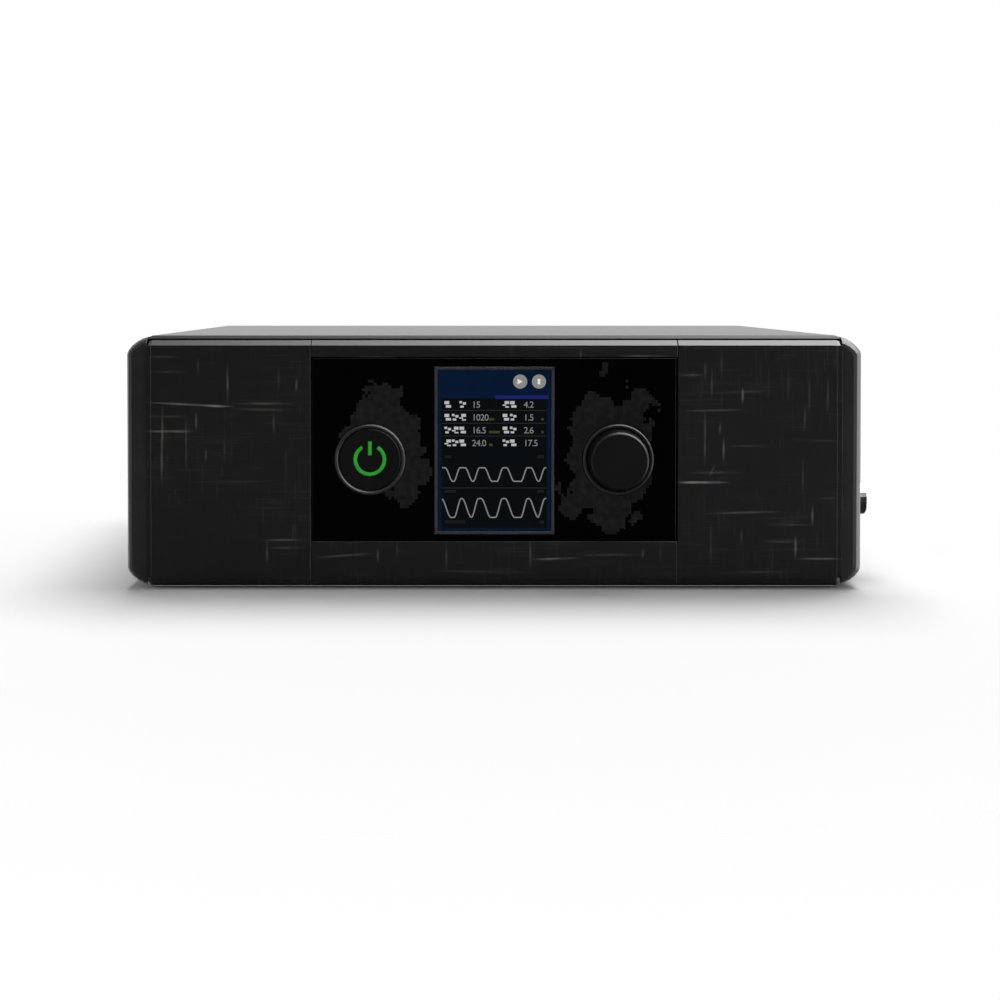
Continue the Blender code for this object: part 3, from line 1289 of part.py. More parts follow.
def make_gas_fitting():
    """Metal gas fitting through the right cheek, its lock nut, and the tube to the outlet."""
    centre = (FITTING_Y, FITTING_Z)
    seat = WIDTH / 2 + GAP
    collar_end = FITTING_TIP - FITTING_TIP_LENGTH
    collar_start = collar_end - FITTING_COLLAR_LENGTH
    groove_start = collar_start - FITTING_GROOVE_LENGTH
    barrel_end = BODY_HALF - FITTING_BARREL_REACH
    barb_end = barrel_end - FITTING_BARB_LENGTH
    profile = [
        (FITTING_BORE_RADIUS, FITTING_TIP),
        (FITTING_TIP_RADIUS, FITTING_TIP),
        (FITTING_TIP_RADIUS, collar_end),
        (FITTING_RADIUS - FITTING_EDGE, collar_end),
        (FITTING_RADIUS, collar_end - FITTING_EDGE),
        (FITTING_RADIUS, collar_start),
        (FITTING_GROOVE_RADIUS, collar_start),
        (FITTING_GROOVE_RADIUS, groove_start),
        (FITTING_RADIUS, groove_start),
        (FITTING_RADIUS, seat),
        (FITTING_BARREL_RADIUS, seat),
        (FITTING_BARREL_RADIUS, barrel_end),
        (FITTING_BARB_RADIUS, barrel_end),
        (FITTING_BARB_RADIUS, barb_end),
        (FITTING_BORE_RADIUS, barb_end),
    ]
    node(turned(profile, "X", centre, ROUND_SIDES), "gas_fitting", "steel")

    nut_stop = INNER_HALF - GAP
    nut_start = nut_stop - NUT_THICKNESS
    nut = cylinder(NUT_RADIUS, nut_start, nut_stop, "X", centre, NUT_SIDES)
    bore_start = nut_start - CUT_OVERRUN
    bore_stop = nut_stop + CUT_OVERRUN
    cut(nut, cylinder(FITTING_BARREL_RADIUS + GAP, bore_start, bore_stop, "X", centre))
    node(nut, "gas_fitting_nut", "steel")
    make_gas_tube(barb_end + TUBE_GRIP)


def tube_join_y():
    """Where along the outlet sleeve the gas tube meets it."""
    return SLEEVE_FRONT + (SLEEVE_REAR - SLEEVE_FRONT) * TUBE_JOIN_SHARE


def tube_route(start_x):
    """The gas tube's level route: in from the fitting, back between the boxes, then to the sleeve."""
    join_y = tube_join_y()
    end_x = SPOUT_X + SLEEVE_RADIUS + GAP
    points = [Vector((start_x, FITTING_Y, FITTING_Z))]
    bends = [
        (Vector((TUBE_LANE_X + TUBE_BEND, FITTING_Y + TUBE_BEND, FITTING_Z)), -pi / 2, -pi / 2),
        (Vector((TUBE_LANE_X - TUBE_BEND, join_y - TUBE_BEND, FITTING_Z)), 0, pi / 2),
    ]
    for middle, start, sweep in bends:
        for step in range(TUBE_BEND_STEPS + 1):
            angle = start + sweep * step / TUBE_BEND_STEPS
            points.append(middle + Vector((TUBE_BEND * cos(angle), TUBE_BEND * sin(angle), 0)))
    points.append(Vector((end_x, join_y, FITTING_Z)))
    return points


def make_gas_tube(start_x):
    """Hollow tube swept along its level route."""
    points = tube_route(start_x)
    bm = bmesh.new()
    rings = []
    for index, point in enumerate(points):
        before = points[max(index - 1, 0)]
        after = points[min(index + 1, len(points) - 1)]
        forward = (after - before).normalized()
        sideways = Vector((-forward.y, forward.x, 0))
        for radius in (TUBE_RADIUS, TUBE_RADIUS - TUBE_WALL):
            ring = []
            for step in range(SMALL_SIDES):
                angle = 2 * pi * step / SMALL_SIDES
                offset = sideways * radius * cos(angle) + Vector((0, 0, radius * sin(angle)))
                ring.append(bm.verts.new(point + offset))
            rings.append(ring)
    outer = rings[0::2]
    inner = rings[1::2]
    around = [*outer, *reversed(inner)]
    for one, two in zip(around, around[1:] + around[:1]):
        for step in range(SMALL_SIDES):
            after = (step + 1) % SMALL_SIDES
            bm.faces.new((one[step], one[after], two[after], two[step]))
    node(to_object(bm, "gas_tube"), "gas_tube", "clear_tube")


def board_bottom():
    """The underside of the two level circuit boards."""
    return FLOOR_TOP + BOARD_LIFT


def board_holds():
    """Where the two level boards rest on the bottom case."""
    boards = (
        (MAIN_BOARD_LEFT, BOARD_RIGHT, MAIN_BOARD_FRONT, MAIN_BOARD_REAR),
        (POWER_BOARD_LEFT, BOARD_RIGHT, POWER_BOARD_FRONT, POWER_BOARD_REAR),
    )
    places = []
    for left, right, front, rear in boards:
        for x in (left + BOARD_HOLD_INSET, right - BOARD_HOLD_INSET):
            for y in (front + BOARD_HOLD_INSET, rear - BOARD_HOLD_INSET):
                places.append((x, y))
    return places


def make_boards():
    """Main board with its buzzer, and power board with transformer and capacitor."""
    low = board_bottom()
    top = low + BOARD_THICKNESS
    main_low = (MAIN_BOARD_LEFT, MAIN_BOARD_FRONT, low)
    main_high = (BOARD_RIGHT, MAIN_BOARD_REAR, top)
    node(box(main_low, main_high), "main_board", "board_green")
    seat = top + GAP
    buzzer_place = (BOARD_RIGHT - BUZZER_SIDE_INSET, MAIN_BOARD_FRONT + BUZZER_FRONT_INSET)
    buzzer = cylinder(BUZZER_RADIUS, seat, seat + BUZZER_HEIGHT, "Z", buzzer_place)
    node(buzzer, "alarm_buzzer", "dark_grey")

    power_low = (POWER_BOARD_LEFT, POWER_BOARD_FRONT, low)
    power_high = (BOARD_RIGHT, POWER_BOARD_REAR, top)
    node(box(power_low, power_high), "power_board", "board_green")
    left = POWER_BOARD_LEFT + BOARD_HOLD_INSET
    front = POWER_BOARD_FRONT + BOARD_HOLD_INSET
    transformer_low = (left, front, seat)
    transformer_high = (left + TRANSFORMER_WIDTH, front + TRANSFORMER_DEPTH, seat + TRANSFORMER_HEIGHT)
    node(box(transformer_low, transformer_high), "transformer", "copper")
    place = (BOARD_RIGHT - BOARD_HOLD_INSET - CAPACITOR_RADIUS, front + CAPACITOR_RADIUS)
    capacitor = cylinder(CAPACITOR_RADIUS, seat, seat + CAPACITOR_HEIGHT, "Z", place)
    node(capacitor, "power_capacitor", "dark_grey")


def make_mains_inlet():
    """Mains socket in the rear panel, with its three blades."""
    half_width = INLET_WIDTH / 2
    half_height = INLET_HEIGHT / 2
    back = REAR_PANEL_BACK + GAP + INLET_FLANGE_THICKNESS
    front = back - INLET_BODY_DEPTH
    body_low = (INLET_X - half_width, front, INLET_Z - half_height)
    body_high = (INLET_X + half_width, back, INLET_Z + half_height)
    inlet = box(body_low, body_high)
    flange_low = (body_low[0] - INLET_FLANGE, REAR_PANEL_BACK + GAP, body_low[2] - INLET_FLANGE)
    flange_high = (body_high[0] + INLET_FLANGE, back, body_high[2] + INLET_FLANGE)
    join(inlet, box(flange_low, flange_high))
    left = body_low[0] + INLET_WALL
    right = body_high[0] - INLET_WALL
    low = body_low[2] + INLET_WALL
    high = body_high[2] - INLET_WALL
    hollow = [
        (left, low),
        (right, low),
        (right, high - INLET_CORNER),
        (right - INLET_CORNER, high),
        (left + INLET_CORNER, high),
        (left, high - INLET_CORNER),
    ]
    floor = front + INLET_FLOOR
    cut(inlet, prism(hollow, "Y", floor, back + CUT_OVERRUN))
    for shift, rise in ((-INLET_PIN_SPREAD, 0), (0, INLET_PIN_RISE), (INLET_PIN_SPREAD, 0)):
        x = INLET_X + shift
        z = INLET_Z + rise
        pin_low = (x - INLET_PIN_WIDTH / 2, floor - JOIN_OVERLAP, z - INLET_PIN_HEIGHT / 2)
        pin_high = (x + INLET_PIN_WIDTH / 2, floor + INLET_PIN_LENGTH, z + INLET_PIN_HEIGHT / 2)
        join(inlet, box(pin_low, pin_high))
    node(inlet, "mains_inlet", "dark_grey")


def make_rocker_switch():
    """Mains switch in the rear panel: a housing, and a paddle that rocks on its own pins."""
    half_width = ROCKER_WIDTH / 2
    half_height = ROCKER_HEIGHT / 2
    back = REAR_PANEL_BACK + GAP + INLET_FLANGE_THICKNESS
    front = back - ROCKER_DEPTH
    housing = box(
        (ROCKER_X - half_width, front, INLET_Z - half_height),
        (ROCKER_X + half_width, back, INLET_Z + half_height),
    )
    flange_half_width = half_width + INLET_FLANGE
    flange_half_height = half_height + INLET_FLANGE
    flange_low = (ROCKER_X - flange_half_width, REAR_PANEL_BACK + GAP, INLET_Z - flange_half_height)
    flange_high = (ROCKER_X + flange_half_width, back, INLET_Z + flange_half_height)
    join(housing, box(flange_low, flange_high))
    cavity_half_width = half_width - ROCKER_WALL
    cavity_half_height = half_height - ROCKER_WALL
    cavity_low = (ROCKER_X - cavity_half_width, front + ROCKER_FLOOR, INLET_Z - cavity_half_height)
    cavity_high = (ROCKER_X + cavity_half_width, back + CUT_OVERRUN, INLET_Z + cavity_half_height)
    cut(housing, box(cavity_low, cavity_high))
    pivot = (ROCKER_PIVOT_Y, INLET_Z)
    pin_half = cavity_half_width + ROCKER_PIN_REACH
    hole_start = ROCKER_X - pin_half - GAP
    hole_stop = ROCKER_X + pin_half + GAP
    cut(housing, cylinder(ROCKER_PIN_RADIUS + GAP, hole_start, hole_stop, "X", pivot, SMALL_SIDES))
    node(housing, "rocker_housing", "dark_grey")

    paddle_half_width = cavity_half_width - GAP
    paddle_half_height = cavity_half_height - ROCKER_END_CLEARANCE
    outline = [
        (-ROCKER_BACK, -paddle_half_height / 2),
        (0, -paddle_half_height),
        (ROCKER_CREST, -paddle_half_height),
        (ROCKER_VALLEY, 0),
        (ROCKER_CREST, paddle_half_height),
        (0, paddle_half_height),
        (-ROCKER_BACK, paddle_half_height / 2),
    ]
    paddle = prism(outline, "X", -paddle_half_width, paddle_half_width)
    join(paddle, cylinder(ROCKER_PIN_RADIUS, -pin_half, pin_half, "X", (0, 0), SMALL_SIDES))
    paddle.data.transform(Matrix.Rotation(-ROCKER_TILT, 4, "X"))
    node(paddle, "rocker_paddle", "gloss_black")
    paddle.location = (ROCKER_X, ROCKER_PIVOT_Y, INLET_Z)


def make_feet():
    """Four rubber feet, sunk a little into the bottom case."""
    top = BOTTOM + FOOT_SINK
    for number, place in enumerate(FOOT_PLACES, 1):
        profile = [
            (0, 0),
            (FOOT_RADIUS - FOOT_EDGE, 0),
            (FOOT_RADIUS, FOOT_EDGE),
            (FOOT_RADIUS, top),
            (0, top),
        ]
        node(turned(profile, "Z", place), f"foot_{number}", "rubber")


def make_screws():
    """Four screws from below, with their heads deep in the bottom case's posts."""
    head_top = SCREW_SEAT_HEIGHT - GAP
    for number, place in enumerate(SCREW_PLACES, 1):
        profile = [
            (0, head_top - SCREW_HEAD_HEIGHT),
            (SCREW_HEAD_RADIUS, head_top - SCREW_HEAD_HEIGHT),
            (SCREW_HEAD_RADIUS, head_top),
            (SCREW_RADIUS, head_top),
            (SCREW_RADIUS, head_top + SCREW_LENGTH),
            (0, head_top + SCREW_LENGTH),
        ]
        node(turned(profile, "Z", place, SMALL_SIDES), f"case_screw_{number}", "steel")


def set_footprint_on_origin():
    """Parent every piece to one empty that sets the footprint's middle on the origin."""
    anchor = bpy.data.objects.new("machine_anchor", None)
    bpy.context.scene.collection.objects.link(anchor)
    for piece in list(bpy.data.objects):
        if piece.type == "MESH":
            piece.parent = anchor
    middle_x = (FITTING_TIP - WIDTH / 2) / 2
    middle_y = (PORT_TIP + KNOB_TIP) / 2
    anchor.location = (-middle_x, -middle_y, 0)


def main():
    clear_scene()
    make_bottom_case()
    make_top_cover()
    make_cheek(-1, "left_cheek")
    make_cheek(1, "right_cheek")
    make_side_panels()
    make_centre_panel()
    make_front_frame()
    make_front_window()
    make_display()
    make_front_board()
    make_power_button()
    make_selector()
    make_rear_panel()
    make_noise_box()
    make_blower()
    make_outlet()
    make_filter()
    make_gas_fitting()
    make_boards()
    make_mains_inlet()
    make_rocker_switch()
    make_feet()
    make_screws()
    set_footprint_on_origin()


main()
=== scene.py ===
"""Looks of a bilevel positive airway pressure machine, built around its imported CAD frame.

Metres, +Z up, the front towards -Y. New pieces are placed from the CAD nodes' own boxes.
"""

from math import cos, pi, radians, sin

import bmesh
import bpy
from mathutils import Matrix, Vector
from mathutils.bvhtree import BVHTree


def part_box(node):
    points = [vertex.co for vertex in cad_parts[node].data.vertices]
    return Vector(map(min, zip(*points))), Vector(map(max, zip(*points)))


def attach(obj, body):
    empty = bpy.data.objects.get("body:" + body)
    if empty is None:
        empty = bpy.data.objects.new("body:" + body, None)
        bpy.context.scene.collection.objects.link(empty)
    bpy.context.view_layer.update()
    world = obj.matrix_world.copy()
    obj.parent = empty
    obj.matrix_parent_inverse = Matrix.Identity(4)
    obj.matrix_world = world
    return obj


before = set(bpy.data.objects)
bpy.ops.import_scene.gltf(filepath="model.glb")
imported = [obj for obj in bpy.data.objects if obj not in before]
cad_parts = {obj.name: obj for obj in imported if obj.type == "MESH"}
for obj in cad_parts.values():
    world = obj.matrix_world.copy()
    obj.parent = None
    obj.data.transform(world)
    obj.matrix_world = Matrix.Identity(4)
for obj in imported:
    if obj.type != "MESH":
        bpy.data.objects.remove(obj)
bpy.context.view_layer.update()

# Camera
CAMERA_PLACE = (-0.0234, -0.678, 0.1204)
CAMERA_PITCH = radians(1.0)
CAMERA_LENS_MM = 50.22
CAMERA_SENSOR_MM = 36.0
CAMERA_SHIFT_X = 0.0487
CAMERA_SHIFT_Y = -0.1790

# Lamps: place, width, depth, power
KEY_LAMP = ((0.40, 0.85, 2.7), 2.2, 1.7, 75.0)
FILL_LAMP = ((-0.80, -0.95, 0.50), 0.5, 0.5, 1.5)
AMBIENT_LEVEL = 0.24

# Room that the reflections show: dark in front, a lit right side, a bright window overhead
ROOM_LEVEL = 1.05
DARK_ROOM_LEVEL = 0.015
DARK_DIRECTION = (-0.15, -0.989, 0.0)
DARK_SPAN = (0.05, 0.50)
GROUND_SPAN = (-0.80, -0.30)
SIDE_DIRECTION = (0.99, -0.14, 0.0)
SIDE_SPAN = (0.68, 0.94)
SIDE_LEVEL = 3.0
WINDOW_DIRECTION = (0.52, -0.10, 0.85)
WINDOW_SPAN = (0.70, 0.97)
WINDOW_LEVEL = 10.0

# Floor
FLOOR_COLOUR = (0.99, 0.99, 0.99)
FLOOR_HALF = 3.0
FLOOR_FADE_START = 0.22
FLOOR_FADE_END = 0.42

# Softness of edges
EDGE_SOFTNESS = 0.0003
FINE_EDGE_SOFTNESS = 0.00015

# Sizes and depths of surface detail
PLASTIC_GRAIN = 0.0004
PLASTIC_GRAIN_DEPTH = 0.00001
PLASTIC_PATCH_GRAINS = 40
RUBBER_GRAIN = 0.0006
RUBBER_GRAIN_DEPTH = 0.00002
POLISH_WAVE = 0.0020
TRIM_WAVE = 0.0010
POLISH_DEPTH = 0.000002
PRINT_DEPTH = 0.000001
GLOW_PATCH = 0.0030
GLOW_DEPTH = 0.00001
BRUSH_LENGTH = 0.02
BRUSH_WIDTH = 0.0001
BRUSH_DEPTH = 0.000003
BRUSH_ROUGHNESS_SHARES = (0.8, 1.3)
TRACK_HALF_WIDTH = 0.00025
TRACK_LENGTH = 0.0160
TRACK_PITCH = 0.0031
TRACK_HEIGHT = 0.00003
PAD_PITCH = 0.0060
PAD_RADIUS_SHARE = 0.12
FOAM_CELL = 0.0016
FOAM_CELL_DEPTH = 0.0008
FIBRE = 0.0005
FIBRE_STRETCH = (1.0, 1.0, 0.25)
FIBRE_DEPTH = 0.0002
WINDING_PITCH = 0.0037699
WINDING_HEIGHT = 0.0001
TUBE_WAVE = 0.004
TUBE_WAVE_DEPTH = 0.00003

# The wave texture's phase at a scale of one, in radians a metre
WAVE_PHASE = 20

# Values between which a pattern goes from nothing to full: noise over most of its range, noise in
# patches, clusters and breaks of the streaks, and the distance from the middle of a foam cell
NOISE_SPAN = (0.3, 0.7)
PATCH_SPAN = (0.35, 0.65)
CLUSTER_SPAN = (0.40, 0.62)
BREAK_SPAN = (0.35, 0.60)
CELL_SPAN = (0.1, 0.6)

# Linen pattern: length and width of a streak, slope, limits of the noise, strength
STREAK_LAYERS = (
    (0.0340, 0.0010, radians(1.0), 0.600, 0.800, 0.10),
    (0.0180, 0.0009, radians(-1.5), 0.640, 0.800, 0.14),
    (0.0010, 0.0260, radians(0.5), 0.600, 0.800, 0.10),
    (0.0010, 0.0130, radians(-1.0), 0.640, 0.800, 0.15),
)
STREAK_CLUSTER = 0.0350
CLUSTER_STRENGTH = (0.2, 1.0)
STREAK_BREAK = 0.0070
BREAK_STRENGTH = (0.7, 1.5)
STREAK_DEPTH = 0.00001

# Blacks and greys of the outside
FACE_BLACK = (0.0178, 0.0178, 0.0182)
STREAK_GREY = (0.2700, 0.2650, 0.2460)
SATIN_BLACK = (0.0180, 0.0180, 0.0190)
CHEEK_BLACK = (0.0330, 0.0330, 0.0340)
CAP_BLACK = (0.0095, 0.0095, 0.0100)
KNOB_BLACK = (0.0110, 0.0110, 0.0114)
GLOSS_BLACK = (0.0060, 0.0060, 0.0062)
GLASS_BLACK = (0.0008, 0.0010, 0.0014)
RUBBER_BLACK = (0.020, 0.020, 0.020)
TRIM_GREY = (0.040, 0.040, 0.042)
DARK_GREY = (0.022, 0.022, 0.023)
DISPLAY_GREY = (0.060, 0.060, 0.072)
# How much of a plastic's colour its duller patches keep
DULL_SHARE = 0.85

# Colours of the lit symbol, the metal, the inner parts and the marks on the mains switch
LIGHT_GREEN = (0.005, 0.080, 0.008)
GLOW_GREENS = ((0.010, 0.230, 0.012), (0.016, 0.300, 0.020))
STEEL_GREY = (0.62, 0.61, 0.59)
BLADE_METAL = (0.70, 0.68, 0.62)
BOARD_GREEN = (0.008, 0.070, 0.030)
TRACK_GREEN = (0.060, 0.200, 0.090)
GREY_PLASTIC = (0.140, 0.140, 0.145)
WHITE_PLASTIC = (0.620, 0.620, 0.600)
FOAM_GREY = (0.060, 0.060, 0.064)
FOAM_CELL_GREY = (0.020, 0.020, 0.022)
FILTER_WHITE = (0.66, 0.66, 0.64)
FIBRE_WHITES = ((0.42, 0.42, 0.40), (0.72, 0.72, 0.70))
COPPER = (0.55, 0.22, 0.09)
WIRE_COPPERS = ((0.30, 0.11, 0.04), (0.60, 0.26, 0.11))
TUBE_WHITE = (0.80, 0.84, 0.84)
MARK_WHITE = (0.75, 0.75, 0.73)

# Longer streaks of the linen: middle across, middle up and length as shares of the front, slope in
# degrees, strength
STREAK_WIDTH = 0.0013
LEVEL_STREAK_SHARES = (
    (-0.878, 0.741, 0.37, -3.0, 0.55),
    (-0.796, 0.735, 0.15, -1.5, 0.60),
    (-0.668, 0.745, 0.30, 0.0, 0.25),
    (-0.672, 0.721, 0.28, -1.5, 0.20),
    (-0.936, 0.633, 0.22, 0.0, 0.50),
    (-0.939, 0.693, 0.18, 0.5, 0.16),
    (-0.953, 0.934, 0.15, 0.0, 0.14),
    (-0.940, 0.873, 0.17, 0.0, 0.14),
    (-0.607, 0.194, 0.22, 0.5, 0.28),
    (-0.600, 0.162, 0.18, 0.0, 0.16),
    (0.598, 0.427, 0.24, 0.0, 1.00),
    (0.560, 0.427, 0.12, 0.0, 0.60),
    (0.639, 0.718, 0.32, 1.0, 0.26),
    (0.567, 0.860, 0.13, 0.0, 0.28),
    (0.725, 0.793, 0.26, 1.5, 0.15),
    (0.728, 0.574, 0.19, 0.0, 0.14),
    (0.636, 0.466, 0.25, 0.5, 0.20),
    (0.716, 0.305, 0.36, 1.5, 0.26),
    (0.850, 0.255, 0.20, 1.0, 0.17),
    (0.831, 0.187, 0.21, 0.0, 0.16),
    (0.959, 0.363, 0.11, 0.0, 0.16),
    (0.935, 0.595, 0.18, 0.0, 0.12),
    (0.937, 0.118, 0.20, 0.0, 0.45),
    (0.756, 0.064, 0.40, 1.0, 0.16),
    (-0.341, 0.932, 0.22, 0.0, 0.22),
    (0.430, 0.937, 0.24, 0.0, 0.28),
    (-0.431, 0.131, 0.27, 4.0, 0.30),
    (-0.046, 0.066, 0.50, -1.0, 0.15),
    (0.175, 0.118, 0.22, 2.0, 0.48),
    (0.338, 0.134, 0.28, 1.0, 0.22),
)
UPRIGHT_STREAK_SHARES = (
    (-0.955, 0.640, 0.22, 0.0, 0.28),
    (-0.957, 0.520, 0.24, 0.0, 0.30),
    (-0.887, 0.586, 0.25, 0.0, 0.18),
    (-0.858, 0.677, 0.09, 0.0, 0.30),
    (-0.852, 0.892, 0.08, 0.0, 0.15),
    (-0.767, 0.820, 0.19, 0.0, 0.30),
    (-0.776, 0.554, 0.11, 0.0, 0.14),
    (-0.830, 0.534, 0.07, 0.0, 0.20),
    (-0.635, 0.665, 0.10, 0.0, 0.16),
    (-0.620, 0.845, 0.12, 0.0, 0.13),
    (-0.569, 0.821, 0.07, -4.0, 0.34),
    (-0.655, 0.143, 0.11, 0.0, 0.28),
    (0.606, 0.606, 0.26, 0.0, 0.32),
    (0.606, 0.873, 0.10, 0.0, 0.24),
    (0.625, 0.817, 0.12, 0.0, 0.24),
    (0.653, 0.912, 0.15, 0.0, 0.16),
    (0.714, 0.777, 0.08, 0.0, 0.65),
    (0.649, 0.645, 0.06, -3.0, 0.22),
    (0.660, 0.556, 0.13, 0.0, 0.42),
    (0.627, 0.474, 0.07, -25.0, 0.24),
    (0.845, 0.817, 0.14, 0.0, 0.16),
    (0.906, 0.781, 0.18, 0.0, 0.17),
    (0.959, 0.785, 0.18, -1.0, 0.24),
    (0.893, 0.681, 0.12, -2.0, 0.20),
    (0.888, 0.450, 0.18, 0.0, 0.14),
    (0.916, 0.291, 0.10, 0.0, 0.42),
    (0.868, 0.167, 0.11, 0.0, 0.45),
    (0.712, 0.207, 0.09, -4.0, 0.18),
    (0.624, 0.167, 0.22, 0.0, 0.15),
    (0.248, 0.944, 0.06, 0.0, 0.34),
    (-0.336, 0.130, 0.07, 0.0, 0.28),
    (-0.280, 0.151, 0.10, 0.0, 0.15),
    (-0.138, 0.129, 0.13, 0.0, 0.24),
    (0.104, 0.131, 0.15, 0.0, 0.26),
    (0.428, 0.142, 0.05, 0.0, 0.36),
    (0.479, 0.143, 0.10, 0.0, 0.15),
)

# Printed tiles on the window: places are shares of its half width and of its height
TILE = 0.0012
TILE_PATCH = 0.0140
PATCH_CENTRE_SHARES = ((-0.60, 0.52), (0.60, 0.47))
PATCH_HALF_WIDTHS = (0.0240, 0.0250)
PATCH_HALF_HEIGHTS = (0.0290, 0.0380)
# Where a patch starts to thin and where it ends, as shares of its half size, and what that adds
PATCH_RIM_SHARES = (0.4, 1.1)
PATCH_DENSITY = (0.30, -0.22)
PRINT_LIMIT = 0.55
TILE_SHADES = (0.6, 1.0)
WINDOW_BLACK = (0.0012, 0.0012, 0.0013)
TILE_GREY = (0.0240, 0.0240, 0.0256)

# Picture on the display: places are shares of the display's width and height
PICTURE_LIFT = 0.00002
PICTURE_THICKNESS = 0.00004
SCREEN_ROW_PITCH = 0.0013823
ROW_DIM_SHARE = 0.75
GLOW_DIM_SHARE = 0.7
SCREEN_CLOUD = 0.012
CLOUD_DIM_SHARE = 0.75
HEADER_LOW_SHARE = 0.809
FOOT_BAND_SHARES = (0.030, 0.040)
SIDE_FADE_SHARE = 0.01
ACCENT_SHARES = (0.508, 0.809, 0.953, 0.829)
ICON_PLACE_SHARES = ((0.716, 0.912), (0.873, 0.912))
ICON_RADIUS = 0.0029
ICON_MARK = 0.0011
ROW_COUNT = 4
FIRST_ROW_SHARE = 0.776
ROW_PITCH_SHARE = 0.0766
RULE_THICKNESS = 0.0003
LABEL_HEIGHT = 0.0027
LABEL_GAP = 0.0004
LABEL_SPAN_SHARES = ((0.083, 0.262), (0.570, 0.684))
# Each row's two labels: the shape of each block from the left, or None for a gap
LABEL_SHAPES = (
    ((0, None, 1), (2, 0)),
    ((0, 1, 2), (0, 1)),
    ((1, 2, 0), (0, 1)),
    ((2, 1, 0), (1, 0)),
)
# The bars of each block of a label: left, low, right and high as shares of the block
BLOCK_BAR_SHARES = (
    ((0.0, 0.52, 0.72, 1.0), (0.20, 0.0, 1.0, 0.38)),
    ((0.0, 0.66, 0.40, 1.0), (0.52, 0.46, 1.0, 0.82), (0.12, 0.0, 0.66, 0.30)),
    ((0.30, 0.56, 1.0, 1.0), (0.0, 0.28, 0.56, 0.48), (0.40, 0.0, 1.0, 0.20)),
)
READING_PLACE_SHARES = (0.312, 0.745)
READING_SIZE = 0.0037
READING_SPACING = 0.92
READINGS = (("15", "4.2"), ("1020", "1.5"), ("16.5", "2.6"), ("24.0", "17.5"))
# Each unit's row, left end and right end
UNIT_SHARES = (
    (1, 0.455, 0.500),
    (1, 0.893, 0.912),
    (2, 0.455, 0.545),
    (2, 0.893, 0.912),
    (3, 0.455, 0.485),
)
UNIT_HEIGHT = 0.0010
# Each note's left end, foot and right end
NOTE_SHARES = (
    (0.083, 0.455, 0.140),
    (0.861, 0.455, 0.915),
    (0.083, 0.247, 0.180),
    (0.861, 0.247, 0.915),
    (0.083, 0.064, 0.258),
    (0.880, 0.064, 0.915),
)
NOTE_HEIGHT = 0.0012
SCREEN_INSET_SHARE = 0.064
MIDDLE_RULE_SHARE = 0.274
# Each wave: where it falls and rises in turn, the widths of a fall and a rise, its top and its foot
WAVES = (
    ((0.120, 0.187, 0.287, 0.350, 0.449, 0.548, 0.634, 0.750, 0.838, 0.898), 0.064, 0.052, 0.397, 0.316),
    ((0.097, 0.193, 0.269, 0.338, 0.430, 0.539, 0.630, 0.750, 0.829, 0.894), 0.080, 0.060, 0.213, 0.100),
)
WAVE_STROKE = 0.0005
WAVE_STEPS = 240
NAVY = (0.0015, 0.0095, 0.0330)
SCREEN_BLACK = (0.0026, 0.0034, 0.0040)
ACCENT_BLUE = (0.0110, 0.0160, 0.1500)
SCREEN_WHITE = (0.4800, 0.4850, 0.4800)
READING_GREY = (0.2300, 0.2350, 0.2300)
SCREEN_GREY = (0.2200, 0.2250, 0.2250)
SCREEN_YELLOW = (0.0500, 0.0480, 0.0200)
SCREEN_RULE = (0.0200, 0.0210, 0.0210)
SCREEN_NOTE = (0.0100, 0.0105, 0.0110)
ICON_GREY = (0.2500, 0.2500, 0.2350)
ICON_MARK_WHITE = (0.7500, 0.7500, 0.7000)

# Seals in the grooves between the front panels and the cheeks
SEAL_LOW_MARGIN = 0.0042
SEAL_TOP_MARGIN = 0.0021
# A seal's section: inwards from the panel's end, and back from its front
SEAL_SECTION = (
    (0.00170, 0.00002),
    (-0.00027, 0.00002),
    (-0.00027, 0.00095),
    (-0.00003, 0.00095),
    (0.00047, 0.00047),
)

# Metal blades in the mains inlet
BLADE_WIDTH = 0.0022
BLADE_HEIGHT = 0.0042
BLADE_LENGTH = 0.0102
BLADE_FLOOR = 0.0025
BLADE_PLACES = ((-0.0070, 0.0), (0.0, 0.0020), (0.0070, 0.0))

# Marks on the mains switch
MARK_HEIGHT = 0.0032
MARK_STROKE = 0.0006
MARK_THICKNESS = 0.0001
MARK_PLACE_SHARES = (-0.5, 0.5)
ROUND_STEPS = 48


class Nodes:
    """The nodes of one shader tree."""

    def __init__(self, tree):
        self.tree = tree

    def node(self, kind, inputs=None, **settings):
        """Add a node, set it up, and join or fill its inputs."""
        made = self.tree.nodes.new(kind)
        for name, value in settings.items():
            setattr(made, name, value)
        for socket, value in (inputs or {}).items():
            if isinstance(value, bpy.types.NodeSocket):
                self.tree.links.new(value, made.inputs[socket])
            else:
                made.inputs[socket].default_value = value
        return made

    def spread(self, value, low, high, to_low=0.0, to_high=1.0):
        """Stretch a span of values over another, and stop at its ends."""
        inputs = {0: value, 1: low, 2: high, 3: to_low, 4: to_high}
        return self.node("ShaderNodeMapRange", inputs).outputs[0]

    def maths(self, operation, first, second):
        """One sum on two values."""
        return self.node("ShaderNodeMath", {0: first, 1: second}, operation=operation).outputs[0]

    def towards(self, direction, place, span, level):
        """How far a direction looks towards a place, from nought to a level."""
        inputs = {0: direction, 1: place}
        nearness = self.node("ShaderNodeVectorMath", inputs, operation="DOT_PRODUCT").outputs["Value"]
        return self.spread(nearness, *span, 0.0, level)


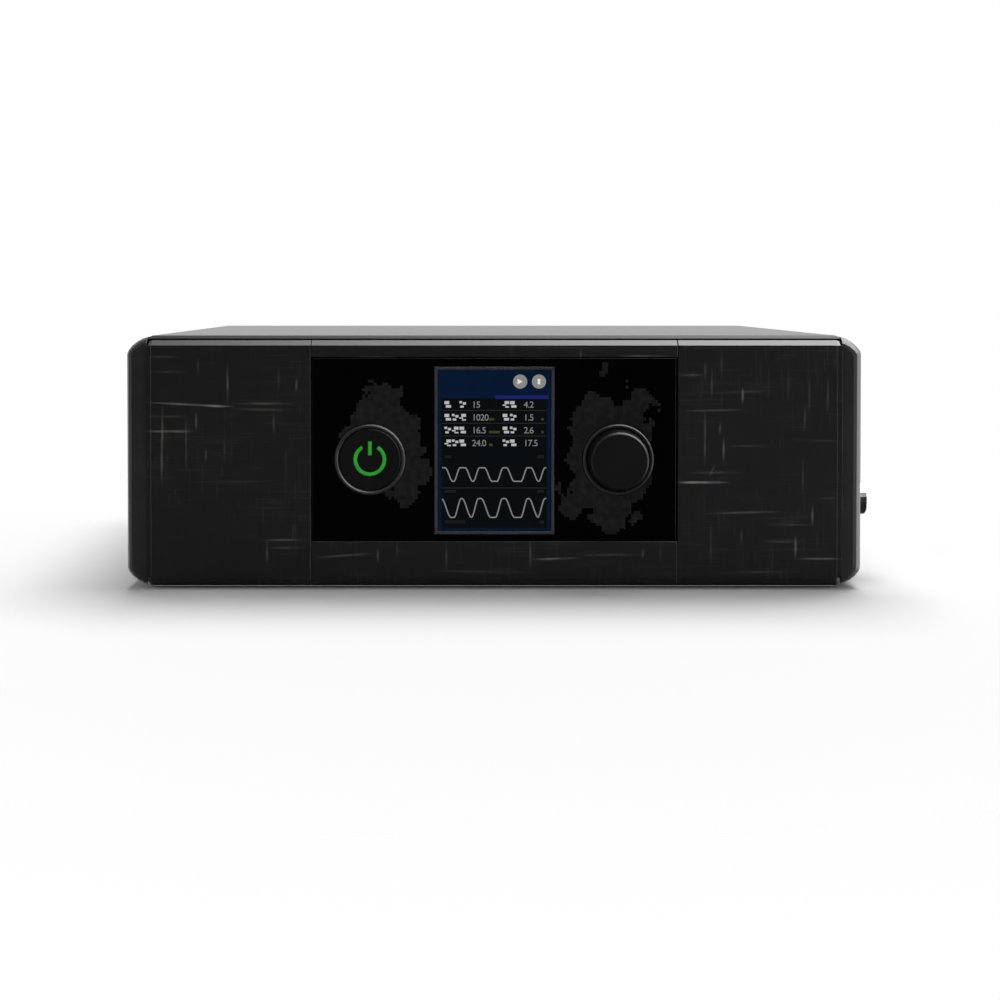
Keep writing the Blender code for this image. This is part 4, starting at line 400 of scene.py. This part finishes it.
class Finish(Nodes):
    """A material, and the shader nodes that are added to it."""

    def __init__(self, name, colour, roughness, metallic=0.0):
        self.material = bpy.data.materials.new(name + "_finish")
        self.material.use_nodes = True
        super().__init__(self.material.node_tree)
        self.shader = self.tree.nodes["Principled BSDF"]
        self.colour = colour
        self.set("Base Color", (*colour, 1.0))
        self.set("Roughness", roughness)
        self.set("Metallic", metallic)

    def set(self, socket, value):
        """Set one of the shader's own sockets."""
        self.shader.inputs[socket].default_value = value

    def feed(self, output, socket):
        """Feed one of the shader's own sockets."""
        self.tree.links.new(output, self.shader.inputs[socket])

    def place(self, stretch=(1.0, 1.0, 1.0), turn=(0.0, 0.0, 0.0)):
        """The place on the piece in metres, turned and stretched."""
        coordinates = self.node("ShaderNodeTexCoord").outputs["Object"]
        inputs = {"Vector": coordinates, "Scale": stretch, "Rotation": turn}
        return self.node("ShaderNodeMapping", inputs).outputs[0]

    def noise(self, place, size, detail=2.0):
        """Soft noise whose features have the given size."""
        inputs = {"Vector": place, "Scale": 1 / size, "Detail": detail}
        return self.node("ShaderNodeTexNoise", inputs).outputs[0]

    def level_rows(self, pitch, distortion=0.0):
        """Level rows that repeat at the given pitch up the piece."""
        scale = 2 * pi / pitch / WAVE_PHASE
        inputs = {"Vector": self.place(), "Scale": scale, "Distortion": distortion}
        return self.node("ShaderNodeTexWave", inputs, bands_direction="Z").outputs[1]

    def vector_maths(self, operation, first, second):
        """One sum on two vectors."""
        return self.node("ShaderNodeVectorMath", {0: first, 1: second}, operation=operation).outputs[0]

    def length(self, vector):
        """The length of a vector."""
        return self.node("ShaderNodeVectorMath", {0: vector}, operation="LENGTH").outputs["Value"]

    def mix(self, share, first, second):
        """A colour between two others."""
        inputs = {0: share}
        for socket, colour in ((6, first), (7, second)):
            inputs[socket] = colour if isinstance(colour, bpy.types.NodeSocket) else (*colour, 1.0)
        return self.node("ShaderNodeMix", inputs, data_type="RGBA").outputs[2]

    def relief(self, height, depth, softness=EDGE_SOFTNESS):
        """Surface relief of a real depth, on edges that are softened a little."""
        edge = self.node("ShaderNodeBevel", {"Radius": softness}, samples=4).outputs[0]
        inputs = {"Height": height, "Distance": depth, "Strength": 1.0, "Normal": edge}
        self.feed(self.node("ShaderNodeBump", inputs).outputs[0], "Normal")

    def grain(self, size=PLASTIC_GRAIN, depth=PLASTIC_GRAIN_DEPTH, softness=EDGE_SOFTNESS):
        """Fine moulded grain, and a slight unevenness of colour."""
        place = self.place()
        self.relief(self.noise(place, size), depth, softness)
        dull = tuple(DULL_SHARE * part for part in self.colour)
        patches = self.spread(self.noise(place, size * PLASTIC_PATCH_GRAINS), *PATCH_SPAN)
        self.feed(self.mix(patches, dull, self.colour), "Base Color")


def plastic_finish(name, colour, roughness, specular=0.5):
    """Moulded plastic with a fine grain."""
    finish = Finish(name, colour, roughness)
    finish.set("Specular IOR Level", specular)
    finish.grain()
    return finish.material


def long_streaks(finish):
    """The longer streaks, each a soft thin lens on the front."""
    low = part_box("left_front_panel")[0]
    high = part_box("right_front_panel")[1]
    half = (high.x - low.x) / 2
    height = high.z - low.z
    coordinates = finish.place()
    total = 0.0
    for table, upright in ((LEVEL_STREAK_SHARES, False), (UPRIGHT_STREAK_SHARES, True)):
        for share_x, share_z, length_share, slope, strength in table:
            reach = height * length_share / 2
            width = STREAK_WIDTH / 2
            inputs = {
                "Vector": coordinates,
                "Location": (low.x + half * (1 + share_x), low.y, low.z + height * share_z),
                "Rotation": (0.0, -radians(slope), 0.0),
                "Scale": (width, height, reach) if upright else (reach, height, width),
            }
            near = finish.node("ShaderNodeMapping", inputs, vector_type="TEXTURE").outputs[0]
            lens = finish.node("ShaderNodeTexGradient", {0: near}, gradient_type="SPHERICAL").outputs[1]
            inputs = {0: lens, 1: strength, 2: total}
            total = finish.node("ShaderNodeMath", inputs, operation="MULTIPLY_ADD").outputs[0]
    return total


def linen_finish(name="linen_black", softness=EDGE_SOFTNESS):
    """Black face with thin crossing streaks, like coarse linen."""
    finish = Finish(name, FACE_BLACK, 0.30)
    streaks = 0.0
    for length, height, slope, low, high, strength in STREAK_LAYERS:
        place = finish.place((1 / length, 1 / length, 1 / height), (0.0, slope, 0.0))
        layer = finish.spread(finish.noise(place, 1.0, 1.0), low, high, 0.0, strength)
        streaks = finish.maths("MAXIMUM", streaks, layer)
    clusters = finish.noise(finish.place(), STREAK_CLUSTER, 1.0)
    cluster = finish.spread(clusters, *CLUSTER_SPAN, *CLUSTER_STRENGTH)
    streaks = finish.maths("MULTIPLY", streaks, cluster)
    breaks = finish.noise(finish.place(), STREAK_BREAK, 3.0)
    broken = finish.spread(breaks, *BREAK_SPAN, *BREAK_STRENGTH)
    long = finish.maths("MULTIPLY", long_streaks(finish), broken)
    streaks = finish.maths("MINIMUM", finish.maths("ADD", streaks, long), 1.0)
    finish.feed(finish.mix(streaks, FACE_BLACK, STREAK_GREY), "Base Color")
    finish.relief(streaks, STREAK_DEPTH, softness)
    return finish.material


def gloss_finish():
    """Polished black plastic."""
    finish = Finish("gloss_black", GLOSS_BLACK, 0.16)
    finish.grain(POLISH_WAVE, POLISH_DEPTH)
    return finish.material


def trim_finish():
    """Dark polished trim of the two rings."""
    finish = Finish("ring_trim", TRIM_GREY, 0.34)
    finish.set("Specular IOR Level", 0.30)
    finish.grain(TRIM_WAVE, POLISH_DEPTH, FINE_EDGE_SOFTNESS)
    return finish.material


def window_finish():
    """Gloss black with faint printed patches of small tiles on both sides of the display."""
    finish = Finish("window_print", WINDOW_BLACK, 0.10)
    finish.set("Specular IOR Level", 0.25)
    low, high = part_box("front_window")
    middle = (low + high) / 2
    snapped = finish.vector_maths("SNAP", finish.place(), (TILE, TILE, TILE))
    nearness = None
    for (share_x, share_z), half_width, half_height in zip(
        PATCH_CENTRE_SHARES, PATCH_HALF_WIDTHS, PATCH_HALF_HEIGHTS
    ):
        centre = (
            middle.x + (high.x - middle.x) * share_x,
            middle.y,
            low.z + (high.z - low.z) * share_z,
        )
        offset = finish.vector_maths("SUBTRACT", snapped, centre)
        offset = finish.vector_maths("MULTIPLY", offset, (1 / half_width, 0.0, 1 / half_height))
        near = finish.spread(finish.length(offset), *PATCH_RIM_SHARES, *PATCH_DENSITY)
        nearness = near if nearness is None else finish.maths("MAXIMUM", nearness, near)
    value = finish.maths("ADD", finish.noise(snapped, TILE_PATCH, 3.0), nearness)
    printed = finish.maths("GREATER_THAN", value, PRINT_LIMIT)
    shade = finish.spread(finish.noise(snapped, TILE * 2, 0.0), *NOISE_SPAN, *TILE_SHADES)
    printed = finish.maths("MULTIPLY", printed, shade)
    finish.feed(finish.mix(printed, WINDOW_BLACK, TILE_GREY), "Base Color")
    finish.relief(printed, PRINT_DEPTH, FINE_EDGE_SOFTNESS)
    return finish.material


def screen_rows(finish):
    """Fine level rows on the screen, from dim to full."""
    rows = finish.level_rows(SCREEN_ROW_PITCH)
    return finish.spread(rows, 0.0, 1.0, ROW_DIM_SHARE, 1.0)


def glow_finish(name, colour):
    """A lit part of the picture on the display, in fine rows."""
    finish = Finish(name, (0.0, 0.0, 0.0), 0.30)
    dim = tuple(GLOW_DIM_SHARE * part for part in colour)
    finish.feed(finish.mix(screen_rows(finish), dim, colour), "Emission Color")
    finish.set("Emission Strength", 1.0)
    return finish.material


def display_glass_finish():
    """The display's ground: navy above and along the edges, near black below."""
    finish = Finish("display_glass", GLASS_BLACK, 0.12)
    finish.set("Specular IOR Level", 0.25)
    low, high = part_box("display_frame")
    width = high.x - low.x
    height = high.z - low.z
    parts = finish.node("ShaderNodeSeparateXYZ", {0: finish.place()}).outputs
    header_low = low.z + height * HEADER_LOW_SHARE
    in_header = finish.spread(parts[2], header_low, header_low + RULE_THICKNESS)
    offset = finish.maths("SUBTRACT", parts[0], (low.x + high.x) / 2)
    from_middle = finish.maths("ABSOLUTE", offset, 0.0)
    inner = width * (0.5 - SCREEN_INSET_SHARE)
    at_side = finish.spread(from_middle, inner, inner + width * SIDE_FADE_SHARE)
    foot_band = [low.z + height * share for share in FOOT_BAND_SHARES]
    at_foot = finish.spread(parts[2], *foot_band, 1.0, 0.0)
    navy = finish.maths("MAXIMUM", in_header, finish.maths("MAXIMUM", at_side, at_foot))
    clouds = finish.noise(finish.place(), SCREEN_CLOUD)
    cloud = finish.spread(clouds, *NOISE_SPAN, CLOUD_DIM_SHARE, 1.0)
    navy = finish.maths("MULTIPLY", navy, finish.maths("MULTIPLY", cloud, screen_rows(finish)))
    finish.feed(finish.mix(navy, SCREEN_BLACK, NAVY), "Emission Color")
    finish.set("Emission Strength", 1.0)
    return finish.material


def light_finish():
    """The lit green symbol."""
    finish = Finish("green_light", LIGHT_GREEN, 0.35)
    glow = finish.noise(finish.place(), GLOW_PATCH)
    finish.feed(finish.mix(finish.spread(glow, *NOISE_SPAN), *GLOW_GREENS), "Emission Color")
    finish.set("Emission Strength", 1.0)
    finish.relief(glow, GLOW_DEPTH, FINE_EDGE_SOFTNESS)
    return finish.material


def metal_finish(name, colour, roughness, turning_axis):
    """Machined metal with fine lines across the given axis."""
    finish = Finish(name, colour, roughness, 1.0)
    stretch = [1 / BRUSH_LENGTH] * 3
    stretch["XYZ".index(turning_axis)] = 1 / BRUSH_WIDTH
    lines = finish.noise(finish.place(stretch), 1.0)
    finish.relief(lines, BRUSH_DEPTH)
    least, most = [roughness * share for share in BRUSH_ROUGHNESS_SHARES]
    finish.feed(finish.spread(lines, *NOISE_SPAN, least, most), "Roughness")
    return finish.material


def board_finish():
    """Solder mask with lighter tracks and small round pads."""
    finish = Finish("board_green", BOARD_GREEN, 0.45)
    inputs = {
        "Vector": finish.place(),
        "Scale": 1.0,
        "Mortar Size": TRACK_HALF_WIDTH,
        "Mortar Smooth": 0.1,
        "Brick Width": TRACK_LENGTH,
        "Row Height": TRACK_PITCH,
    }
    tracks = finish.node("ShaderNodeTexBrick", inputs).outputs["Fac"]
    inputs = {"Vector": finish.place(), "Scale": 1 / PAD_PITCH, "Randomness": 0.6}
    dots = finish.node("ShaderNodeTexVoronoi", inputs).outputs["Distance"]
    copper = finish.maths("MAXIMUM", tracks, finish.maths("LESS_THAN", dots, PAD_RADIUS_SHARE))
    finish.feed(finish.mix(copper, BOARD_GREEN, TRACK_GREEN), "Base Color")
    finish.relief(tracks, TRACK_HEIGHT)
    return finish.material


def foam_finish():
    """Open soft cells."""
    finish = Finish("foam", FOAM_GREY, 0.95)
    inputs = {"Vector": finish.place(), "Scale": 1 / FOAM_CELL}
    cells = finish.node("ShaderNodeTexVoronoi", inputs).outputs["Distance"]
    finish.relief(cells, FOAM_CELL_DEPTH)
    colour = finish.mix(finish.spread(cells, *CELL_SPAN), FOAM_GREY, FOAM_CELL_GREY)
    finish.feed(colour, "Base Color")
    return finish.material


def filter_finish():
    """White fleece of fine fibres."""
    finish = Finish("filter", FILTER_WHITE, 0.95)
    fibres = finish.noise(finish.place(FIBRE_STRETCH), FIBRE, 4.0)
    finish.relief(fibres, FIBRE_DEPTH)
    finish.feed(finish.mix(finish.spread(fibres, *NOISE_SPAN), *FIBRE_WHITES), "Base Color")
    return finish.material


def rubber_finish():
    """Dull black rubber."""
    finish = Finish("rubber", RUBBER_BLACK, 0.75)
    finish.grain(RUBBER_GRAIN, RUBBER_GRAIN_DEPTH)
    return finish.material


def copper_finish():
    """Enamelled windings in level bands."""
    finish = Finish("copper", COPPER, 0.32, 1.0)
    turns = finish.level_rows(WINDING_PITCH, 0.5)
    finish.relief(turns, WINDING_HEIGHT)
    finish.feed(finish.mix(turns, *WIRE_COPPERS), "Base Color")
    return finish.material


def tube_finish():
    """Milky clear tube."""
    finish = Finish("clear_tube", TUBE_WHITE, 0.15)
    finish.set("Transmission Weight", 0.85)
    finish.set("IOR", 1.45)
    finish.relief(finish.noise(finish.place(), TUBE_WAVE), TUBE_WAVE_DEPTH)
    return finish.material


FINISH_MAKERS = {
    "linen_black": linen_finish,
    "satin_black": lambda: plastic_finish("satin_black", SATIN_BLACK, 0.36),
    "gloss_black": gloss_finish,
    "dark_grey": lambda: plastic_finish("dark_grey", DARK_GREY, 0.50),
    "display_glass": display_glass_finish,
    "display_grey": lambda: plastic_finish("display_grey", DISPLAY_GREY, 0.35),
    "green_light": light_finish,
    "steel": lambda: metal_finish("steel", STEEL_GREY, 0.28, "X"),
    "board_green": board_finish,
    "grey_plastic": lambda: plastic_finish("grey_plastic", GREY_PLASTIC, 0.50),
    "white_plastic": lambda: plastic_finish("white_plastic", WHITE_PLASTIC, 0.45),
    "rubber": rubber_finish,
    "foam": foam_finish,
    "filter": filter_finish,
    "copper": copper_finish,
    "clear_tube": tube_finish,
}


def dress_cad_nodes():
    """Give every CAD node the finish of its slot, and a few nodes their own."""
    own = {"front_window": window_finish()}
    own["power_button_ring"] = own["knob_ring"] = trim_finish()
    own["left_cheek"] = own["right_cheek"] = plastic_finish("cheek", CHEEK_BLACK, 0.30)
    own["power_button"] = plastic_finish("button_cap", CAP_BLACK, 0.30)
    own["selector_knob"] = plastic_finish("knob", KNOB_BLACK, 0.34, 0.25)
    own["top_cover"] = plastic_finish("cover", SATIN_BLACK, 0.30, 0.20)
    made = {}
    for name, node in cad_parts.items():
        slot = node.data.materials[0].name
        if slot not in made:
            made[slot] = FINISH_MAKERS[slot]()
        node.data.materials[0] = own.get(name, made[slot])


def add_prism(bm, corners, along):
    """Add a prism from the corners of its end, and the way that it runs."""
    face = bm.faces.new([bm.verts.new(corner) for corner in corners])
    made = bmesh.ops.extrude_face_region(bm, geom=[face])["geom"]
    moved = [item for item in made if isinstance(item, bmesh.types.BMVert)]
    bmesh.ops.translate(bm, vec=along, verts=moved)


def add_plate(bm, outline, front, thickness):
    """Add a thin plate that faces the front, from its outline in X and Z."""
    add_prism(bm, [(x, front, z) for x, z in outline], (0, thickness, 0))


def rectangle(left, low, right, high):
    """The outline of an upright rectangle."""
    return [(left, low), (right, low), (right, high), (left, high)]


def circle(x, z, radius):
    """The outline of a circle."""
    angles = [2 * pi * step / ROUND_STEPS for step in range(ROUND_STEPS)]
    return [(x + radius * cos(angle), z + radius * sin(angle)) for angle in angles]


def add_ring(bm, radius, bore, thickness):
    """Add a flat ring across Y."""
    outer = circle(0, 0, radius)
    inner = circle(0, 0, bore)
    for step in range(ROUND_STEPS):
        after = (step + 1) % ROUND_STEPS
        add_plate(bm, [outer[step], outer[after], inner[after], inner[step]], 0, thickness)


def to_piece(bm, name, material, body):
    """Make a piece of the scene from a mesh in place, and let it ride on a body."""
    bmesh.ops.recalc_face_normals(bm, faces=bm.faces)
    mesh = bpy.data.meshes.new(name)
    bm.to_mesh(mesh)
    bm.free()
    piece = bpy.data.objects.new(name, mesh)
    bpy.context.scene.collection.objects.link(piece)
    mesh.materials.append(material)
    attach(piece, body)


class Screen:
    """The display's picture, drawn with thin lit plates on its glass."""

    def __init__(self):
        self.low, self.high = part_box("display_frame")
        glass_low, glass_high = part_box("display_glass")
        self.front = glass_low.y - PICTURE_LIFT - PICTURE_THICKNESS

    def across(self, share):
        """The place at a share of the display's width."""
        return self.low.x + (self.high.x - self.low.x) * share

    def up(self, share):
        """The height at a share of the display's height."""
        return self.low.z + (self.high.z - self.low.z) * share

    def plates(self, name, outlines, colour, lift=0.0):
        """One piece from several outlines of the same colour."""
        bm = bmesh.new()
        for outline in outlines:
            add_plate(bm, outline, self.front - lift, PICTURE_THICKNESS)
        to_piece(bm, name, glow_finish(name, colour), "case")


def row_heights(screen):
    """The middle heights of the table's rows."""
    return [screen.up(FIRST_ROW_SHARE - ROW_PITCH_SHARE * row) for row in range(ROW_COUNT)]


def block_outlines(left, low, width, shape):
    """The bars of one block of a label."""
    return [
        rectangle(
            left + width * bar_left,
            low + LABEL_HEIGHT * bar_low,
            left + width * bar_right,
            low + LABEL_HEIGHT * bar_high,
        )
        for bar_left, bar_low, bar_right, bar_high in BLOCK_BAR_SHARES[shape]
    ]


def label_outlines(screen):
    """Small broken blocks that stand for the table's words."""
    outlines = []
    for middle, labels in zip(row_heights(screen), LABEL_SHAPES):
        low = middle - LABEL_HEIGHT / 2
        for (start, stop), shapes in zip(LABEL_SPAN_SHARES, labels):
            left, right = screen.across(start), screen.across(stop)
            pitch = (right - left + LABEL_GAP) / len(shapes)
            for block, shape in enumerate(shapes):
                if shape is not None:
                    outlines += block_outlines(left + pitch * block, low, pitch - LABEL_GAP, shape)
    return outlines


def unit_outlines(screen):
    """Short low dashes that stand for the units."""
    outlines = []
    for row, start, stop in UNIT_SHARES:
        low = row_heights(screen)[row] - LABEL_HEIGHT / 2
        outlines.append(rectangle(screen.across(start), low, screen.across(stop), low + UNIT_HEIGHT))
    return outlines


def note_outlines(screen):
    """Faint bars that stand for the notes beside the waves."""
    outlines = []
    for start, height, stop in NOTE_SHARES:
        low = screen.up(height)
        outlines.append(rectangle(screen.across(start), low, screen.across(stop), low + NOTE_HEIGHT))
    return outlines


def rule_outlines(screen):
    """Thin lines between the rows and between the two waves."""
    shares = [FIRST_ROW_SHARE - ROW_PITCH_SHARE * (row + 0.5) for row in range(ROW_COUNT - 1)]
    left, right = screen.across(SCREEN_INSET_SHARE), screen.across(1 - SCREEN_INSET_SHARE)
    return [
        rectangle(left, screen.up(share), right, screen.up(share) + RULE_THICKNESS)
        for share in (*shares, MIDDLE_RULE_SHARE)
    ]


def wave_height(share, turns, fall, rise, top, foot):
    """The height of a breathing wave, which falls and rises in turn."""
    level = 1.0
    for number, turn in enumerate(turns):
        passed = (share - turn) / (rise if number % 2 else fall) + 0.5
        passed = min(max(passed, 0.0), 1.0)
        eased = passed * passed * (3 - 2 * passed)
        level += eased if number % 2 else -eased
    return foot + (top - foot) * level


def add_wave(bm, screen, wave):
    """Add one wave's stroke as a strip of small plates."""
    points = []
    for step in range(WAVE_STEPS + 1):
        share = SCREEN_INSET_SHARE + (1 - 2 * SCREEN_INSET_SHARE) * step / WAVE_STEPS
        points.append(Vector((screen.across(share), screen.up(wave_height(share, *wave)))))
    edges = []
    for index, point in enumerate(points):
        forward = points[min(index + 1, WAVE_STEPS)] - points[max(index - 1, 0)]
        across = Vector((-forward.y, forward.x)).normalized() * WAVE_STROKE / 2
        edges.append((tuple(point - across), tuple(point + across)))
    for (low, high), (next_low, next_high) in zip(edges, edges[1:]):
        add_plate(bm, [low, next_low, next_high, high], screen.front, PICTURE_THICKNESS)


def make_waves(screen):
    """The two breathing waves."""
    bm = bmesh.new()
    for wave in WAVES:
        add_wave(bm, screen, wave)
    to_piece(bm, "screen_waves", glow_finish("screen_waves", SCREEN_GREY), "case")


def make_icons(screen):
    """Two round light buttons in the header, one with an arrow and one with a bar."""
    places = [(screen.across(x), screen.up(z)) for x, z in ICON_PLACE_SHARES]
    screen.plates("screen_icons", [circle(x, z, ICON_RADIUS) for x, z in places], ICON_GREY)
    (arrow_x, arrow_z), (bar_x, bar_z) = places
    mark = ICON_MARK
    arrow = [
        (arrow_x - mark, arrow_z - mark),
        (arrow_x + mark, arrow_z),
        (arrow_x - mark, arrow_z + mark),
    ]
    bar = rectangle(bar_x - mark / 2, bar_z - mark, bar_x + mark / 2, bar_z + mark)
    screen.plates("screen_icon_marks", [arrow, bar], ICON_MARK_WHITE, PICTURE_THICKNESS)


def make_readings(screen):
    """The table's numbers."""
    finish = glow_finish("screen_readings", READING_GREY)
    for row, (middle, texts) in enumerate(zip(row_heights(screen), READINGS), 1):
        for side, share, text in zip(("left", "right"), READING_PLACE_SHARES, texts):
            data = bpy.data.curves.new(f"reading_{side}_{row}", "FONT")
            data.body = text
            data.size = READING_SIZE
            data.space_character = READING_SPACING
            data.extrude = PICTURE_THICKNESS / 2
            data.materials.append(finish)
            reading = bpy.data.objects.new(data.name, data)
            back = screen.front + PICTURE_THICKNESS / 2
            reading.location = (screen.across(share), back, middle - LABEL_HEIGHT / 2)
            reading.rotation_euler = (pi / 2, 0.0, 0.0)
            bpy.context.scene.collection.objects.link(reading)
            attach(reading, "case")


def make_screen():
    """The whole picture on the display."""
    screen = Screen()
    left, low, right, high = ACCENT_SHARES
    accent = rectangle(screen.across(left), screen.up(low), screen.across(right), screen.up(high))
    screen.plates("screen_accent", [accent], ACCENT_BLUE)
    screen.plates("screen_labels", label_outlines(screen), SCREEN_WHITE)
    screen.plates("screen_units", unit_outlines(screen), SCREEN_YELLOW)
    screen.plates("screen_rules", rule_outlines(screen), SCREEN_RULE)
    screen.plates("screen_notes", note_outlines(screen), SCREEN_NOTE)
    make_icons(screen)
    make_readings(screen)
    make_waves(screen)


def make_edge_seals():
    """Thin seals that fill the grooves between the front panels and the cheeks."""
    finish = linen_finish("edge_seal", FINE_EDGE_SOFTNESS)
    for name, side in (("left", -1), ("right", 1)):
        low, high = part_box(name + "_front_panel")
        end = high.x if side > 0 else low.x
        bm = bmesh.new()
        foot = low.z + SEAL_LOW_MARGIN
        corners = [(end - side * inwards, low.y + back, foot) for inwards, back in SEAL_SECTION]
        add_prism(bm, corners, (0, 0, high.z - SEAL_TOP_MARGIN - foot))
        to_piece(bm, "edge_seal_" + name, finish, "case")


def make_mains_blades():
    """Three metal blades over the inlet's pins."""
    low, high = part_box("mains_inlet")
    middle_x = (low.x + high.x) / 2
    middle_z = (low.z + high.z) / 2
    start = low.y + BLADE_FLOOR
    bm = bmesh.new()
    for shift, rise in BLADE_PLACES:
        x, z = middle_x + shift, middle_z + rise
        outline = rectangle(
            x - BLADE_WIDTH / 2, z - BLADE_HEIGHT / 2, x + BLADE_WIDTH / 2, z + BLADE_HEIGHT / 2
        )
        add_plate(bm, outline, start, BLADE_LENGTH)
    finish = metal_finish("brass_blades", BLADE_METAL, 0.22, "Z")
    to_piece(bm, "mains_blades", finish, "case")


def make_switch_marks():
    """A bar and a circle on the two halves of the mains switch."""
    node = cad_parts["rocker_paddle"]
    corners = [vertex.co for vertex in node.data.vertices]
    faces = [tuple(face.vertices) for face in node.data.polygons]
    surface = BVHTree.FromPolygons(corners, faces)
    low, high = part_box("rocker_paddle")
    middle = (low + high) / 2
    half_height = (high.z - low.z) / 2
    finish = plastic_finish("white_print", MARK_WHITE, 0.5)
    for name, share in zip(("switch_mark_off", "switch_mark_on"), MARK_PLACE_SHARES):
        start = Vector((middle.x, high.y + MARK_HEIGHT, middle.z + half_height * share))
        place, normal, index, distance = surface.ray_cast(start, Vector((0, -1, 0)))
        bm = bmesh.new()
        if share > 0:
            half = MARK_STROKE / 2
            add_plate(bm, rectangle(-half, -MARK_HEIGHT / 2, half, MARK_HEIGHT / 2), 0, MARK_THICKNESS)
        else:
            add_ring(bm, MARK_HEIGHT / 2, MARK_HEIGHT / 2 - MARK_STROKE, MARK_THICKNESS)
        turn = Vector((0, 1, 0)).rotation_difference(normal).to_matrix().to_4x4()
        bm.transform(Matrix.Translation(place - normal * MARK_THICKNESS / 2) @ turn)
        to_piece(bm, name, finish, "mains_rocker")


def make_camera():
    """The camera at the photograph's angle."""
    data = bpy.data.cameras.new("camera")
    data.sensor_width = CAMERA_SENSOR_MM
    data.lens = CAMERA_LENS_MM
    data.shift_x = CAMERA_SHIFT_X
    data.shift_y = CAMERA_SHIFT_Y
    camera = bpy.data.objects.new("camera", data)
    camera.location = CAMERA_PLACE
    camera.rotation_euler = (pi / 2 - CAMERA_PITCH, 0.0, 0.0)
    bpy.context.scene.collection.objects.link(camera)
    bpy.context.scene.camera = camera


def make_lamp(name, place, width, depth, power):
    """A soft lamp that looks at the middle of the footprint and shows in no reflection."""
    data = bpy.data.lights.new(name, "AREA")
    data.shape = "RECTANGLE"
    data.size = width
    data.size_y = depth
    data.energy = power
    lamp = bpy.data.objects.new(name, data)
    lamp.location = place
    lamp.rotation_euler = (-Vector(place)).to_track_quat("-Z", "Y").to_euler()
    lamp.visible_camera = False
    lamp.visible_glossy = False
    bpy.context.scene.collection.objects.link(lamp)


def make_world():
    """White to the camera and through glass, even for soft light, and in gloss a dark-fronted room."""
    world = bpy.data.worlds.new("room")
    world.use_nodes = True
    bpy.context.scene.world = world
    nodes = Nodes(world.node_tree)
    direction = nodes.node("ShaderNodeTexCoord").outputs["Generated"]
    dark = nodes.towards(direction, DARK_DIRECTION, DARK_SPAN, ROOM_LEVEL - DARK_ROOM_LEVEL)
    room = nodes.maths("SUBTRACT", ROOM_LEVEL, dark)
    side = nodes.towards(direction, SIDE_DIRECTION, SIDE_SPAN, SIDE_LEVEL)
    window = nodes.towards(direction, WINDOW_DIRECTION, WINDOW_SPAN, WINDOW_LEVEL)
    room = nodes.maths("ADD", nodes.maths("ADD", room, side), window)
    height = nodes.node("ShaderNodeSeparateXYZ", {0: direction}).outputs["Z"]
    room = nodes.maths("MULTIPLY", room, nodes.spread(height, *GROUND_SPAN, DARK_ROOM_LEVEL, 1.0))
    path = nodes.node("ShaderNodeLightPath").outputs
    lit = nodes.node("ShaderNodeMix", {0: path["Is Glossy Ray"], 2: AMBIENT_LEVEL, 3: room}).outputs[0]
    seen = nodes.maths("MAXIMUM", path["Is Camera Ray"], path["Is Transmission Ray"])
    shown = nodes.node("ShaderNodeMix", {0: seen, 2: lit, 3: 1.0}).outputs[0]
    nodes.tree.links.new(shown, nodes.tree.nodes["Background"].inputs["Color"])


def make_floor():
    """A pale floor that gives way to the white room further off."""
    bm = bmesh.new()
    bmesh.ops.create_grid(bm, x_segments=1, y_segments=1, size=FLOOR_HALF)
    mesh = bpy.data.meshes.new("floor")
    bm.to_mesh(mesh)
    bm.free()
    floor = bpy.data.objects.new("floor", mesh)
    bpy.context.scene.collection.objects.link(floor)
    finish = Finish("floor", FLOOR_COLOUR, 0.9)
    finish.set("Specular IOR Level", 0.0)
    distance = finish.length(finish.place())
    finish.feed(finish.spread(distance, FLOOR_FADE_START, FLOOR_FADE_END, 1.0, 0.0), "Alpha")
    mesh.materials.append(finish.material)
    floor.visible_glossy = False


def main():
    """Dress the frame, add the scene's own pieces, and light it all."""
    dress_cad_nodes()
    make_screen()
    make_edge_seals()
    make_mains_blades()
    make_switch_marks()
    make_world()
    make_lamp("key_lamp", *KEY_LAMP)
    make_lamp("fill_lamp", *FILL_LAMP)
    make_floor()
    make_camera()
    bpy.context.scene.view_settings.view_transform = "Standard"


main()
